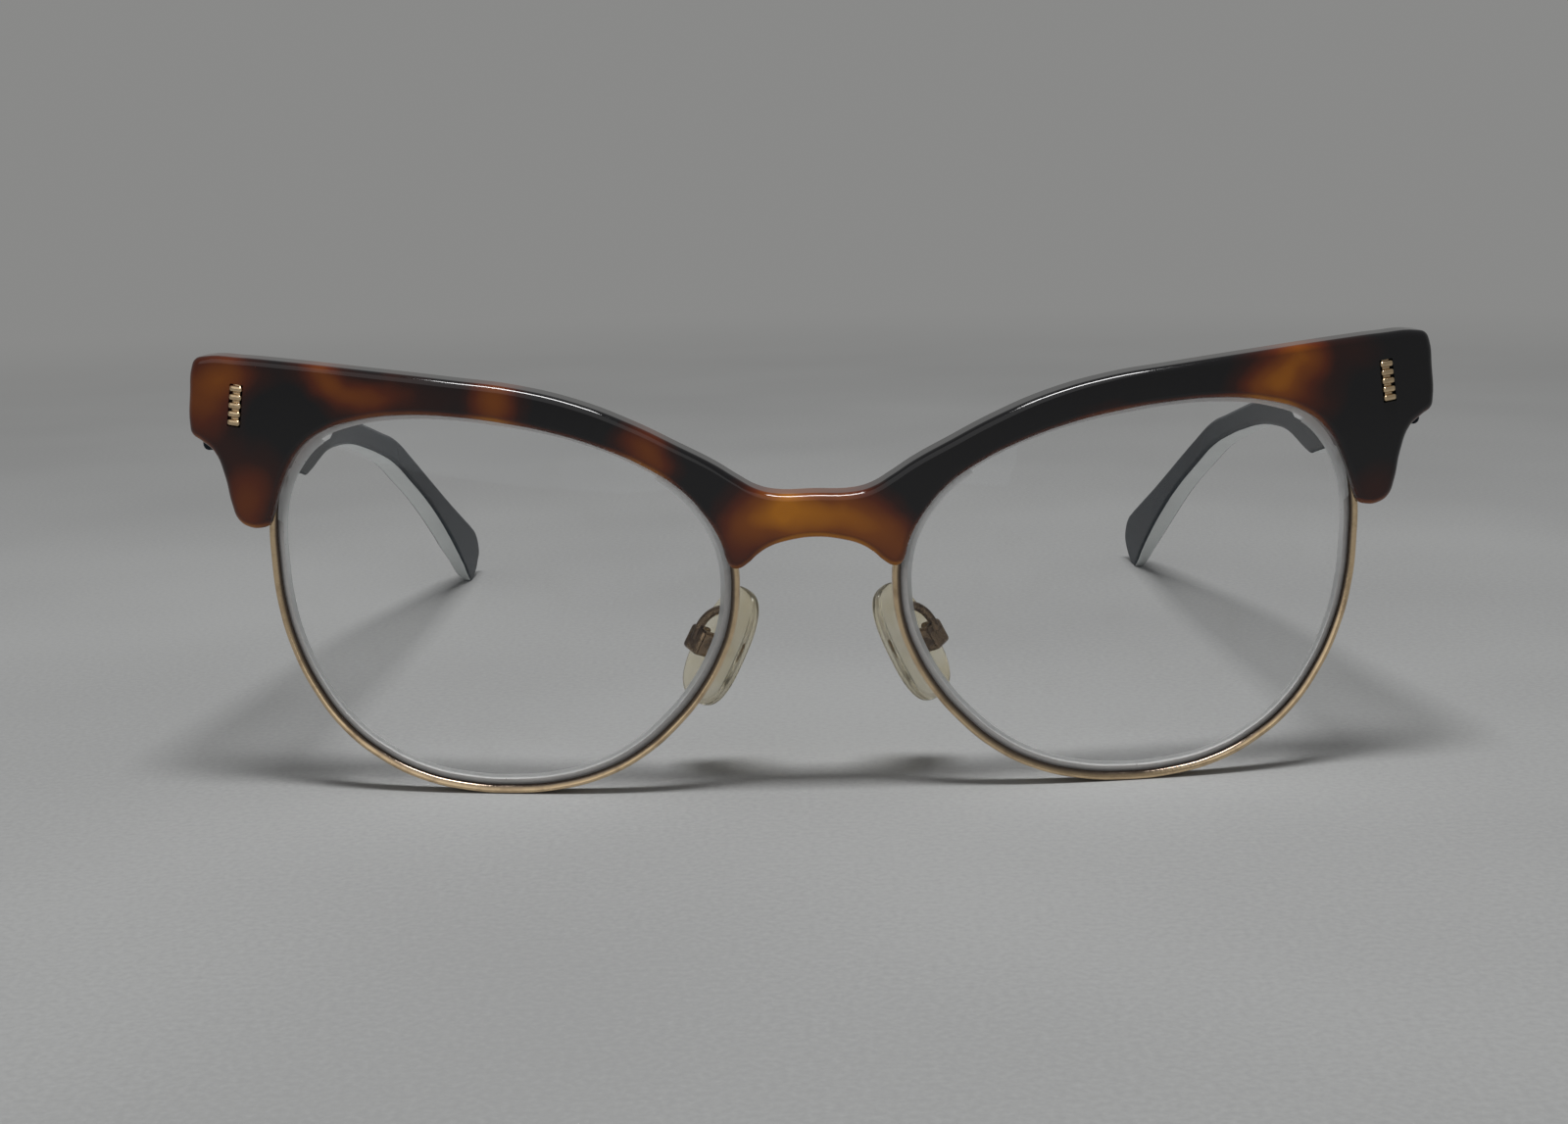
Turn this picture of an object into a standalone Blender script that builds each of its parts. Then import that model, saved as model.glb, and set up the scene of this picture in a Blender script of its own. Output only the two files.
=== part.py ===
"""Cat-eye browline spectacles at real size, in metres.

They stand on the bottoms of their rims and the tips of their temples, at z = 0. The front faces -Y and the
temples run back along +Y. Left is the wearer's left, at +X. Every right-hand piece mirrors its left one.
"""
import math

import bmesh
import bpy
from mathutils import Matrix, Vector

MM = 0.001

# Front: the lenses, the distance between them and what lies beyond them
lens_width = 52.0 * MM
lens_height = 43.2 * MM
bridge_width = 18.8 * MM
end_piece_width = 9.1 * MM
face_radius = 300.0 * MM
seat_gap = 0.3 * MM

# Outline of a lens, counter-clockwise from its nasal side, as shares of its half width and half height
lens_outline_shares = (
    (-1.000, 0.040), (-0.937, -0.285), (-0.720, -0.660), (-0.420, -0.910),
    (-0.015, -1.000), (0.400, -0.930), (0.720, -0.685), (0.930, -0.260),
    (0.998, 0.220), (0.965, 0.615), (0.800, 0.890), (0.433, 1.000),
    (-0.020, 0.960), (-0.430, 0.840), (-0.780, 0.620), (-0.960, 0.345),
)
steps_per_span = 4

# Lens: a domed shell with a V-shaped edge
lens_thickness = 1.5 * MM
lens_bevel_depth = 0.6 * MM
lens_bulge = 1.2 * MM
lens_ring_shares = (0.9, 0.6)

# Lower rim: a wire with a V-shaped groove, and the tabs that its two screws hold
rim_depth = 2.2 * MM
rim_height = 1.1 * MM
rim_lip = 0.25 * MM
rim_rounding = 0.3 * MM
rim_recess = 3.0 * MM
rim_nasal_share = -5 / 64
rim_temporal_share = 37 / 64
tab_length = 3.6 * MM
tab_width = 2.8 * MM
tab_thickness = 0.9 * MM
tab_arc_steps = 6

# Brow bar
brow_thickness = 5.0 * MM
brow_front_round = 0.9 * MM
brow_back_round = 0.5 * MM
brow_overlap = 0.3 * MM
brow_front_lip = 1.6 * MM
brow_nasal_share = 61 / 64
brow_temporal_share = 35 / 64
brow_strip = 6.0 * MM
round_profile_shares = ((1.0, 0.0), (0.4, 0.12), (0.1, 0.45), (0.0, 1.0))

# Outline of the brow bar from the bridge outwards. The first number counts stations: 0 is the middle, 1 the
# nasal edge of the lens, 2 its temporal edge and 3 the end of the bar. The second is a share of half the lens
# height above the middle of the lens.
arch_shares = (
    (0.00, 0.336), (0.32, 0.319), (0.53, 0.289), (0.67, 0.243), (0.755, 0.201), (0.862, 0.178),
    (0.95, 0.196), (1.002, 0.228),
)
lobe_shares = (
    (1.999, 0.452), (2.03, 0.415), (2.14, 0.397), (2.31, 0.400), (2.44, 0.438), (2.52, 0.520),
    (2.58, 0.664), (2.70, 0.799), (2.86, 0.873), (2.965, 0.912), (3.00, 0.965), (2.99, 1.113),
    (2.93, 1.236), (2.85, 1.287), (2.72, 1.299),
)
crown_shares = (
    (2.29, 1.292), (1.973, 1.275), (1.781, 1.225), (1.588, 1.169), (1.454, 1.125), (1.319, 1.042),
    (1.204, 0.933), (1.108, 0.817), (1.030, 0.720), (0.904, 0.646), (0.690, 0.593), (0.480, 0.567),
    (0.00, 0.565),
)
outline_steps = 2

# Inlay on each end piece: five bars on a slim backing plate
inlay_shares = (2.37, 1.044)
inlay_width = 1.5 * MM
inlay_height = 4.8 * MM
inlay_thickness = 0.8 * MM
inlay_bar_count = 5
inlay_bar_share = 0.6
inlay_bar_proud = 0.35 * MM
inlay_sink = 0.1 * MM
inlay_tilt = math.radians(6)

# Screws
screw_radius = 0.6 * MM
screw_head_radius = 1.2 * MM
screw_head_height = 0.6 * MM
screw_sides = 12

# Nose pads, with their tongue, box and arm
pad_length = 14.5 * MM
pad_width = 9.2 * MM
pad_thickness = 1.8 * MM
pad_height_share = -0.32
pad_spacing = 22.0 * MM
pad_setback = 10.3 * MM
pad_splay = math.radians(27)
pad_turn = math.radians(38)
pad_outline_sides = 20
pad_squareness = 2.3
pad_taper_share = 0.22
pad_round_shares = ((0.80, 1.00), (0.95, 0.72), (1.00, 0.30))
tongue_thickness = 1.0 * MM
tongue_radius = 1.2 * MM
pad_axis_depth = 2.4 * MM
pad_screw_radius = 0.45 * MM
box_wall = 0.6 * MM
box_length = 3.0 * MM
arm_radius = 0.5 * MM
arm_rise = 4.0 * MM
arm_root_share = 1 / 64
arm_path_shares = ((0.0, 0.0, 0.0), (0.08, 0.5, 0.25), (0.42, 0.92, 0.2), (0.83, 1.1, -0.35))

# Hinges: five knuckles on a vertical screw
hinge_height = 7.0 * MM
hinge_setback = 4.4 * MM
knuckle_count = 5
knuckle_radius = 1.4 * MM
leaf_thickness = 2.0 * MM
plate_thickness = 0.8 * MM
front_plate_width = 6.4 * MM
temple_plate_length = 10.5 * MM
front_barrel_turns = (math.radians(-30), math.radians(180))
temple_barrel_turns = (math.radians(130), math.radians(360))
knuckle_arc_steps = 8

# Temples
temple_length = 138.6 * MM
temple_height = 10.0 * MM
temple_thickness = 4.0 * MM
temple_tip_thickness = 3.2 * MM
temple_round = 0.7 * MM
temple_toe_in = math.radians(4.1)
temple_butt_gap = 0.45 * MM
temple_taper_start_share = 0.3
tip_touch_shares = (0.957, -1.775)

# Side profile of a temple: share of its length, then top and bottom edge as shares of its height
temple_profile_shares = (
    (0.000, 0.000, -1.010), (0.060, 0.000, -1.008), (0.120, 0.000, -1.003), (0.180, 0.000, -0.998),
    (0.235, 0.005, -0.995), (0.2425, 0.008, -0.975), (0.258, 0.010, -0.875), (0.280, 0.015, -0.730),
    (0.305, 0.020, -0.585), (0.345, 0.025, -0.440), (0.395, 0.030, -0.335), (0.450, 0.035, -0.295),
    (0.510, 0.040, -0.290), (0.570, 0.040, -0.330), (0.645, -0.120, -0.500), (0.725, -0.310, -0.710),
    (0.800, -0.490, -0.975), (0.870, -0.650, -1.290), (0.920, -0.760, -1.565), (0.957, -0.850, -1.775),
    (0.978, -0.930, -1.640), (0.993, -1.050, -1.430), (1.000, -1.190, -1.250),
)

# Core wire inside each temple
core_radius = 0.55 * MM
core_start_share = 0.03
core_end_share = 0.93
core_stations = 16
core_sides = 8
core_outset = 0.5 * MM

overrun = 1.0 * MM


# Places that follow from the sizes
lens_half_width = lens_width / 2
lens_half_height = lens_height / 2
lens_nasal_x = bridge_width / 2
lens_middle_x = lens_nasal_x + lens_half_width
lens_temporal_x = lens_nasal_x + lens_width
half_frame_width = lens_temporal_x + end_piece_width
rim_outer = rim_height - rim_lip
lens_middle_z = rim_outer + lens_half_height
bevel_slope = lens_thickness / 2 / lens_bevel_depth
groove_depth = seat_gap * math.hypot(1, bevel_slope) / bevel_slope
frame_top = lens_middle_z + crown_shares[0][1] * lens_half_height
temple_inner = knuckle_radius + 1.5 * seat_gap
temple_start_y = -hinge_setback + temple_butt_gap
hinge_x = half_frame_width - temple_thickness - temple_inner - hinge_setback * math.sin(temple_toe_in)
hinge_angle = math.asin(hinge_x / face_radius)


def face_depth(x):
    """How far the curved face lies behind the middle of the bridge."""
    return face_radius - math.sqrt(face_radius ** 2 - x ** 2)


def bend(bm):
    """Lays a flat front piece on the curved face."""
    for vert in bm.verts:
        vert.co.y += face_depth(vert.co.x)


def station_x(station):
    """X of a station between the middle of the bridge and the end of the brow bar."""
    stops = (0, lens_nasal_x, lens_temporal_x, half_frame_width)
    index = min(int(station), 2)
    return stops[index] + (station - index) * (stops[index + 1] - stops[index])


def front_points(shares):
    """Points of the front, as X and Z, from stations and shares."""
    return [Vector((station_x(s), lens_middle_z + r * lens_half_height)) for s, r in shares]


def smooth(points, steps, closed=False):
    """A smooth curve through the points, by cubic spans with steps points each."""
    count = len(points)

    def at(index):
        if closed:
            return points[index % count]
        if index < 0:
            return 2 * points[0] - points[1]
        if index >= count:
            return 2 * points[-1] - points[-2]
        return points[index]

    curve = []
    for index in range(count if closed else count - 1):
        before, start, end, after = (at(index + k) for k in (-1, 0, 1, 2))
        gaps = [math.sqrt((b - a).length) for a, b in ((before, start), (start, end), (end, after))]
        leave = (start - before) / gaps[0] - (end - before) / (gaps[0] + gaps[1]) + (end - start) / gaps[1]
        arrive = (end - start) / gaps[1] - (after - start) / (gaps[1] + gaps[2]) + (after - end) / gaps[2]
        leave *= gaps[1]
        arrive *= gaps[1]
        for step in range(steps):
            t = step / steps
            curve.append(
                start * (2 * t ** 3 - 3 * t ** 2 + 1) + leave * (t ** 3 - 2 * t ** 2 + t)
                + end * (3 * t ** 2 - 2 * t ** 3) + arrive * (t ** 3 - t ** 2)
            )
    if not closed:
        curve.append(points[-1].copy())
    return curve


def offset_loop(points, distance):
    """A closed counter-clockwise outline moved outwards by distance."""
    moved = []
    for index, point in enumerate(points):
        before = (point - points[index - 1]).normalized()
        after = (points[(index + 1) % len(points)] - point).normalized()
        normal = Vector((before.y + after.y, -before.x - after.x)).normalized()
        moved.append(point + normal * distance / max(normal.dot(Vector((after.y, -after.x))), 0.5))
    return moved


def loft(rings, closed=False):
    """A skin over rings of points, capped at both ends unless the rings close on themselves."""
    bm = bmesh.new()
    loops = [[bm.verts.new(point) for point in ring] for ring in rings]
    pairs = list(zip(loops, loops[1:]))
    if closed:
        pairs.append((loops[-1], loops[0]))
    else:
        bm.faces.new(loops[0])
        bm.faces.new(loops[-1])
    for first, second in pairs:
        for index in range(len(first)):
            bm.faces.new((first[index - 1], first[index], second[index], second[index - 1]))
    bmesh.ops.recalc_face_normals(bm, faces=bm.faces)
    return bm


def prism(outline, place, low, high):
    """An outline carried from low to high, where place turns its points and a level into a position."""
    return loft([[place(point, level) for point in outline] for level in (low, high)])


def on_front(point, depth):
    """Position of an outline point of the flat front, at a depth behind its surface."""
    return Vector((point.x, depth, point.y))


def circle(centre, radius, sides):
    """A circle of points round a centre."""
    return [
        centre + radius * Vector((math.cos(turn), math.sin(turn)))
        for turn in (2 * math.pi * side / sides for side in range(sides))
    ]


def with_mirror(bm):
    """Adds the right-hand copy of what the mesh holds."""
    copy = bmesh.ops.duplicate(bm, geom=bm.verts[:] + bm.edges[:] + bm.faces[:])["geom"]
    faces = [item for item in copy if isinstance(item, bmesh.types.BMFace)]
    for vert in (item for item in copy if isinstance(item, bmesh.types.BMVert)):
        vert.co.x = -vert.co.x
    bmesh.ops.reverse_faces(bm, faces=faces)
    return bm


def finish(name, colour, roughness, metallic=0.0, transmission=0.0):
    """A Principled material."""
    material = bpy.data.materials.new(name)
    material.use_nodes = True
    shader = material.node_tree.nodes["Principled BSDF"]
    shader.inputs["Base Color"].default_value = (*colour, 1.0)
    shader.inputs["Roughness"].default_value = roughness
    shader.inputs["Metallic"].default_value = metallic
    shader.inputs["Transmission Weight"].default_value = transmission
    return material


tortoise = finish("tortoise_acetate", (0.09, 0.035, 0.012), 0.12)
gold = finish("pale_gold", (0.72, 0.52, 0.30), 0.22, metallic=1.0)
dull_gold = finish("dull_gold", (0.36, 0.24, 0.13), 0.35, metallic=1.0)
clear_lens = finish("clear_lens", (0.95, 0.97, 0.97), 0.03, transmission=0.95)
silicone = finish("clear_silicone", (0.78, 0.72, 0.55), 0.3, transmission=0.6)
dark_acetate = finish("dark_acetate", (0.02, 0.03, 0.04), 0.18)
steel = finish("steel", (0.55, 0.55, 0.56), 0.3, metallic=1.0)


def piece(name, bm, material=None, origin=None, parent=None):
    """A named object, smooth on its round sides. Its origin is the front's own unless one is given."""
    mesh = bpy.data.meshes.new(name)
    if origin is None:
        origin = Vector()
    bmesh.ops.translate(bm, verts=bm.verts, vec=-origin)
    bm.to_mesh(mesh)
    bm.free()
    mesh.shade_smooth()
    mesh.set_sharp_from_angle(angle=math.radians(35))
    if material:
        mesh.materials.append(material)
    thing = bpy.data.objects.new(name, mesh)
    thing.location = origin
    thing.parent = parent
    bpy.context.scene.collection.objects.link(thing)
    return thing


def tool(name, bm, parent=None):
    """A shape that only cuts or joins, and is no piece of the object."""
    shape = piece(name, bm, parent=parent)
    shape.hide_render = True
    shape.display_type = "WIRE"
    return shape


def combine(thing, shape, operation="DIFFERENCE"):
    """Cuts a shape out of a piece, or joins it on."""
    modifier = thing.modifiers.new(shape.name, "BOOLEAN")
    modifier.operation = operation
    modifier.solver = "EXACT"
    modifier.object = shape


def mirror_piece(left, parent=None):
    """The right-hand twin of a left-hand piece, made from its finished mesh."""
    depsgraph = bpy.context.evaluated_depsgraph_get()
    mesh = bpy.data.meshes.new_from_object(left.evaluated_get(depsgraph))
    mesh.transform(Matrix.Scale(-1, 4, Vector((1, 0, 0))))
    mesh.flip_normals()
    right = bpy.data.objects.new(left.name.replace("left", "right"), mesh)
    right.location = Vector((-left.location.x, left.location.y, left.location.z))
    right.rotation_euler = (left.rotation_euler.x, -left.rotation_euler.y, -left.rotation_euler.z)
    right.parent = parent
    bpy.context.scene.collection.objects.link(right)
    return right


def clear_scene():
    """Starts from an empty scene."""
    for thing in list(bpy.data.objects):
        bpy.data.objects.remove(thing)


def lens_loop():
    """The outline of the left lens at the tip of its bevel, as X and Z."""
    points = [
        Vector((lens_middle_x + x * lens_half_width, lens_middle_z + z * lens_half_height))
        for x, z in lens_outline_shares
    ]
    return smooth(points, steps_per_span, closed=True)


def loop_stretch(loop, start_share, end_share):
    """The part of a closed outline between two shares of its count of points, both ends included."""
    start, end = (round(share * len(loop)) for share in (start_share, end_share))
    return [loop[index % len(loop)] for index in range(start, end + 1)]


def edge_sweep(loop, section, start_share=None, end_share=None, end_run=0.0):
    """Sweeps a section of (outwards, backwards) points along an outline, all round or along a stretch."""
    tracks = [offset_loop(loop, outwards) for outwards, _ in section]
    depths = [backwards for _, backwards in section]
    if start_share is None:
        rings = [[on_front(p, d) for p, d in zip(points, depths)] for points in zip(*tracks)]
        return loft(rings, closed=True)
    stretches = [loop_stretch(track, start_share, end_share) for track in tracks]
    middle = loop_stretch(loop, start_share, end_share)
    first_run = (middle[0] - middle[1]).normalized() * end_run
    last_run = (middle[-1] - middle[-2]).normalized() * end_run
    for stretch in stretches:
        stretch[0] = stretch[0] + first_run
        stretch[-1] = stretch[-1] + last_run
    return loft([[on_front(p, d) for p, d in zip(points, depths)] for points in zip(*stretches)])


def build_lens(loop):
    """A lens: a shell that bulges forwards, with a V-shaped edge that seats in rim and brow."""
    half = lens_thickness / 2
    centre = Vector((lens_middle_x, lens_middle_z))
    front_rings = []
    back_rings = []
    shoulder = offset_loop(loop, -lens_bevel_depth)
    for share in (1.0, *lens_ring_shares):
        lift = lens_bulge * (1 - share ** 2)
        ring = [centre + (point - centre) * share for point in shoulder]
        front_rings.append([on_front(p, rim_recess - half - lift) for p in ring])
        back_rings.append([on_front(p, rim_recess + half - lift) for p in ring])
    edge = [on_front(p, rim_recess) for p in loop]
    bm = loft([*reversed(front_rings), edge, *back_rings])
    for cap in [face for face in bm.faces if len(face.verts) == len(loop)]:
        bmesh.ops.poke(bm, faces=[cap])
    for vert in bm.verts:
        if (Vector((vert.co.x, vert.co.z)) - centre).length < lens_bevel_depth:
            vert.co.y -= lens_bulge * lens_ring_shares[-1] ** 2
    bend(bm)
    return piece("left_lens", bm, clear_lens)


def tab_outline(loop, share, grow=0.0):
    """The tab at one end of the lower rim: square on the rim, round about its screw. Also gives its screw."""
    index = round(share * len(loop)) % len(loop)
    along = (loop[(index + 1) % len(loop)] - loop[index - 1]).normalized()
    outwards = Vector((along.y, -along.x))
    along_in = along if share < 0 else -along
    root = loop[index] + along_in * tab_width / 2 + outwards * (rim_outer + groove_depth) / 2
    eye = root + outwards * tab_length
    radius = tab_width / 2 + grow
    outline = [root - outwards * grow - along * radius]
    for step in range(tab_arc_steps + 1):
        turn = math.pi * step / tab_arc_steps
        outline.append(eye - along * radius * math.cos(turn) + outwards * radius * math.sin(turn))
    outline.append(root - outwards * grow + along * radius)
    return outline, eye


# The hinge sits midway between the top of the brow bar and the screw below it, and the temple is level with it
temporal_screw = tab_outline(lens_loop(), rim_temporal_share)[1]
hinge_y = face_depth(hinge_x) + brow_thickness + hinge_setback
hinge_z = (frame_top + temporal_screw.y + screw_head_radius) / 2
temple_top_z = hinge_z + temple_height / 2
pivot = Vector((hinge_x, hinge_y, hinge_z))


def build_rim(loop):
    """A lower rim: the grooved wire and its two tabs, each with a screw hole."""
    half = rim_depth / 2
    mouth = (rim_lip + groove_depth) * bevel_slope
    section = (
        (-rim_lip, rim_recess - half), (-rim_lip, rim_recess - mouth), (groove_depth, rim_recess),
        (-rim_lip, rim_recess + mouth), (-rim_lip, rim_recess + half),
        (rim_outer - rim_rounding, rim_recess + half), (rim_outer, rim_recess + half - rim_rounding),
        (rim_outer, rim_recess - half + rim_rounding), (rim_outer - rim_rounding, rim_recess - half),
    )
    bm = edge_sweep(loop, section, rim_nasal_share, rim_temporal_share)
    bend(bm)
    rim = piece("left_rim", bm, gold)
    tab_back = rim_recess + half + seat_gap
    for side, share in (("nasal", rim_nasal_share), ("temporal", rim_temporal_share)):
        outline, eye = tab_outline(loop, share)
        tab = prism(outline, on_front, tab_back - tab_thickness, tab_back)
        bend(tab)
        combine(rim, tool(f"tab_{side}", tab), "UNION")
        rim_hole = circle(eye, screw_radius + seat_gap, screw_sides)
        hole = prism(rim_hole, on_front, 0.0, brow_thickness + overrun)
        bend(hole)
        combine(rim, tool(f"tab_hole_{side}", hole))
    return rim


def build_rim_screw(loop, side, share):
    """A screw that clamps a tab of the rim to the back of the brow bar."""
    _, eye = tab_outline(loop, share)
    tab_back = rim_recess + rim_depth / 2 + seat_gap
    head = tab_back + seat_gap
    rings = [
        [on_front(p, depth) for p in circle(eye, radius, screw_sides)]
        for radius, depth in (
            (screw_radius, brow_front_lip + seat_gap), (screw_radius, head), (screw_head_radius, head),
            (screw_head_radius, head + screw_head_height / 2), (screw_radius, head + screw_head_height),
        )
    ]
    bm = loft(rings)
    bend(bm)
    return piece(f"left_rim_screw_{side}", bm, gold)


def brow_outline(loop):
    """The whole outline of the brow bar, counter-clockwise."""
    arch = smooth(front_points(arch_shares), outline_steps)
    edge = loop_stretch(offset_loop(loop, -brow_overlap), brow_temporal_share, brow_nasal_share)
    eye_edge = [(start + end) / 2 for start, end in zip(edge, edge[1:])]
    rest = smooth(front_points(lobe_shares + crown_shares), outline_steps)
    half = arch + eye_edge[::-1] + rest
    other = [Vector((-point.x, point.y)) for point in reversed(half[1:-1])]
    return half + other


def brow_blank(loop):
    """The brow bar before its recesses: one bent sheet with rounded edges."""
    outline = brow_outline(loop)
    rings = []
    for inward, backward in round_profile_shares:
        ring = offset_loop(outline, -inward * brow_front_round)
        rings.append([on_front(p, backward * brow_front_round) for p in ring])
    for inward, backward in reversed(round_profile_shares):
        ring = offset_loop(outline, -inward * brow_back_round)
        rings.append([on_front(p, brow_thickness - backward * brow_back_round) for p in ring])
    bm = loft(rings)
    strips = int(half_frame_width / brow_strip)
    for strip in range(-strips, strips + 1):
        geometry = bm.verts[:] + bm.edges[:] + bm.faces[:]
        line = Vector((strip * brow_strip, 0, 0))
        bmesh.ops.bisect_plane(bm, geom=geometry, dist=0, plane_co=line, plane_no=(1, 0, 0))
    bend(bm)
    return bm


def inlay_frame(point, level):
    """Position of a point of the inlay, which leans with its top towards the nose."""
    centre = front_points([inlay_shares])[0]
    lean = Matrix.Rotation(inlay_tilt, 2)
    return on_front(centre + lean @ point, level)


def rectangle(width, height, centre=Vector((0, 0))):
    """A rectangle of points round a centre."""
    corners = ((-0.5, -0.5), (0.5, -0.5), (0.5, 0.5), (-0.5, 0.5))
    return [centre + Vector((x * width, y * height)) for x, y in corners]


def build_brow(loop):
    """The brow bar: grooved for the lenses, open at the back for rims, tabs and screws, let in for hinges."""
    brow = piece("brow_bar", brow_blank(loop), tortoise)
    back = brow_thickness + overrun
    reach = rim_height
    flank = (reach + groove_depth) * bevel_slope
    vee = ((-reach, rim_recess - flank), (groove_depth, rim_recess), (-reach, rim_recess + flank))
    cuts = {"lens_groove": edge_sweep(loop, vee)}
    outer = rim_outer + seat_gap
    bed = ((-reach, brow_front_lip), (outer, brow_front_lip), (outer, back), (-reach, back))
    cuts["rim_bed_nasal"] = edge_sweep(loop, bed, rim_nasal_share, 0.0, seat_gap)
    cuts["rim_bed_temporal"] = edge_sweep(loop, bed, 0.5, rim_temporal_share, seat_gap)
    tab_front = rim_recess + rim_depth / 2 - tab_thickness
    for side, share in (("nasal", rim_nasal_share), ("temporal", rim_temporal_share)):
        outline, eye = tab_outline(loop, share, seat_gap)
        cuts[f"tab_bed_{side}"] = prism(outline, on_front, tab_front, back)
        hole = circle(eye, screw_radius + seat_gap, screw_sides)
        cuts[f"screw_hole_{side}"] = prism(hole, on_front, brow_front_lip, back)
    bed_outline = rectangle(inlay_width + 2 * seat_gap, inlay_height + 2 * seat_gap)
    cuts["inlay_bed"] = prism(bed_outline, inlay_frame, -overrun, inlay_thickness + seat_gap)
    for name, bm in cuts.items():
        bend(bm)
        combine(brow, tool(name, with_mirror(bm)))
    depth = hinge_setback + plate_thickness + seat_gap
    plate = front_plate_outline(seat_gap)
    bm = prism(plate, lambda p, y: hinge_place(Vector((p.x, y, p.y))), -depth, -hinge_setback + overrun)
    combine(brow, tool("hinge_bed", with_mirror(bm)))
    return brow


def build_inlay():
    """A gold inlay: a slim plate with five bars across it, sunk into the end piece."""
    backing = rectangle(inlay_width * inlay_bar_share, inlay_height)
    plate = prism(backing, inlay_frame, inlay_sink, inlay_thickness)
    bend(plate)
    inlay = piece("left_inlay", plate, gold)
    pitch = inlay_height / inlay_bar_count
    for bar in range(inlay_bar_count):
        centre = Vector((0, (bar + 0.5) * pitch - inlay_height / 2))
        outline = rectangle(inlay_width, pitch * inlay_bar_share, centre)
        bm = prism(outline, inlay_frame, -inlay_bar_proud, inlay_thickness - inlay_sink)
        bend(bm)
        combine(inlay, tool(f"inlay_bar_{bar}", bm), "UNION")
    return inlay


def hinge_place(local):
    """Position of a point given from the hinge's screw, square to the back of the end piece."""
    return pivot + Matrix.Rotation(hinge_angle, 3, "Z") @ local


def front_plate_outline(grow=0.0):
    """The plate of the front hinge half, as X and Z: a rectangle with cut corners."""
    half_width = front_plate_width / 2 + grow
    half_height = hinge_height / 2 + grow
    corner = leaf_thickness / 2
    return [
        Vector(point) for point in (
            (-half_width + corner, -half_height), (half_width - corner, -half_height),
            (half_width, -half_height + corner), (half_width, half_height - corner),
            (half_width - corner, half_height), (-half_width + corner, half_height),
            (-half_width, half_height - corner), (-half_width, -half_height + corner),
        )
    ]


def knuckle_levels(first):
    """Bottom and top of every other knuckle, from the first."""
    height = (hinge_height - (knuckle_count - 1) * seat_gap) / knuckle_count
    for index in range(first, knuckle_count, 2):
        low = -hinge_height / 2 + index * (height + seat_gap)
        yield low, low + height


def knuckle_arc(turns):
    """Points round the barrel between two angles."""
    arc = []
    for step in range(knuckle_arc_steps + 1):
        turn = turns[0] + (turns[1] - turns[0]) * step / knuckle_arc_steps
        arc.append(knuckle_radius * Vector((math.cos(turn), math.sin(turn))))
    return arc


def build_front_hinge():
    """The front half of a hinge: a plate in the back of the end piece with three knuckles."""
    plate = prism(
        front_plate_outline(), lambda p, y: hinge_place(Vector((p.x, y, p.y))),
        -hinge_setback - plate_thickness, -hinge_setback,
    )
    hinge = piece("left_front_hinge", plate, dull_gold)
    root = -hinge_setback - plate_thickness / 2
    outline = knuckle_arc(front_barrel_turns)
    outline += [Vector((-knuckle_radius, root)), Vector((leaf_thickness - knuckle_radius, root))]
    outline.append(Vector((leaf_thickness - knuckle_radius, -knuckle_radius)))
    for index, (low, high) in enumerate(knuckle_levels(0)):
        bm = prism(outline, lambda p, z: hinge_place(Vector((p.x, p.y, z))), low, high)
        combine(hinge, tool(f"front_knuckle_{index}", bm), "UNION")
    hole = circle(Vector((0, 0)), screw_radius + seat_gap, screw_sides)
    bm = prism(hole, lambda p, z: hinge_place(Vector((p.x, p.y, z))), -hinge_height, hinge_height)
    combine(hinge, tool("front_hinge_hole", bm))
    return hinge


def build_hinge_screw():
    """The screw of a hinge, on which the temple folds."""
    foot = -hinge_height / 2
    seat = hinge_height / 2 + seat_gap
    rings = [
        [pivot + Vector((p.x, p.y, level)) for p in circle(Vector((0, 0)), radius, screw_sides)]
        for radius, level in (
            (screw_radius, foot), (screw_radius, seat), (screw_head_radius, seat),
            (screw_head_radius, seat + screw_head_height / 2), (screw_radius, seat + screw_head_height),
        )
    ]
    return piece("left_hinge_screw", loft(rings), steel, origin=pivot)


def temple_slope():
    """The slope that brings the tip of the temple down to the ground."""
    along = tip_touch_shares[0] * temple_length
    below = -tip_touch_shares[1] * temple_height
    return math.asin(temple_top_z / math.hypot(along, below)) - math.atan2(below, along)



def temple_point(outwards, along, above):
    """Position in the temple's frame, with the pivot as origin, of a point given along its sloping top."""
    slope = temple_slope()
    y = temple_start_y + along * math.cos(slope) + above * math.sin(slope)
    z = temple_top_z - hinge_z - along * math.sin(slope) + above * math.cos(slope)
    return Vector((temple_inner + outwards, y, z))


def temple_width(share):
    """Thickness of the temple at a share of its length."""
    taper = max(0.0, share - temple_taper_start_share) / (1 - temple_taper_start_share)
    return temple_thickness + (temple_tip_thickness - temple_thickness) * taper


def temple_ring(share, top, bottom):
    """A section of the temple: a rectangle with cut corners."""
    width = temple_width(share)
    corner = min(temple_round, (top - bottom) * temple_height / 3)
    high = top * temple_height
    low = bottom * temple_height
    section = (
        (0, low + corner), (corner, low), (width - corner, low), (width, low + corner),
        (width, high - corner), (width - corner, high), (corner, high), (0, high - corner),
    )
    return [temple_point(x, share * temple_length, z) for x, z in section]


def temple_stations():
    """The sections of the temple, smoothed between those of the profile past its square corner."""
    rows = [Vector(row) for row in temple_profile_shares]
    return smooth(rows, outline_steps)


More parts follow.
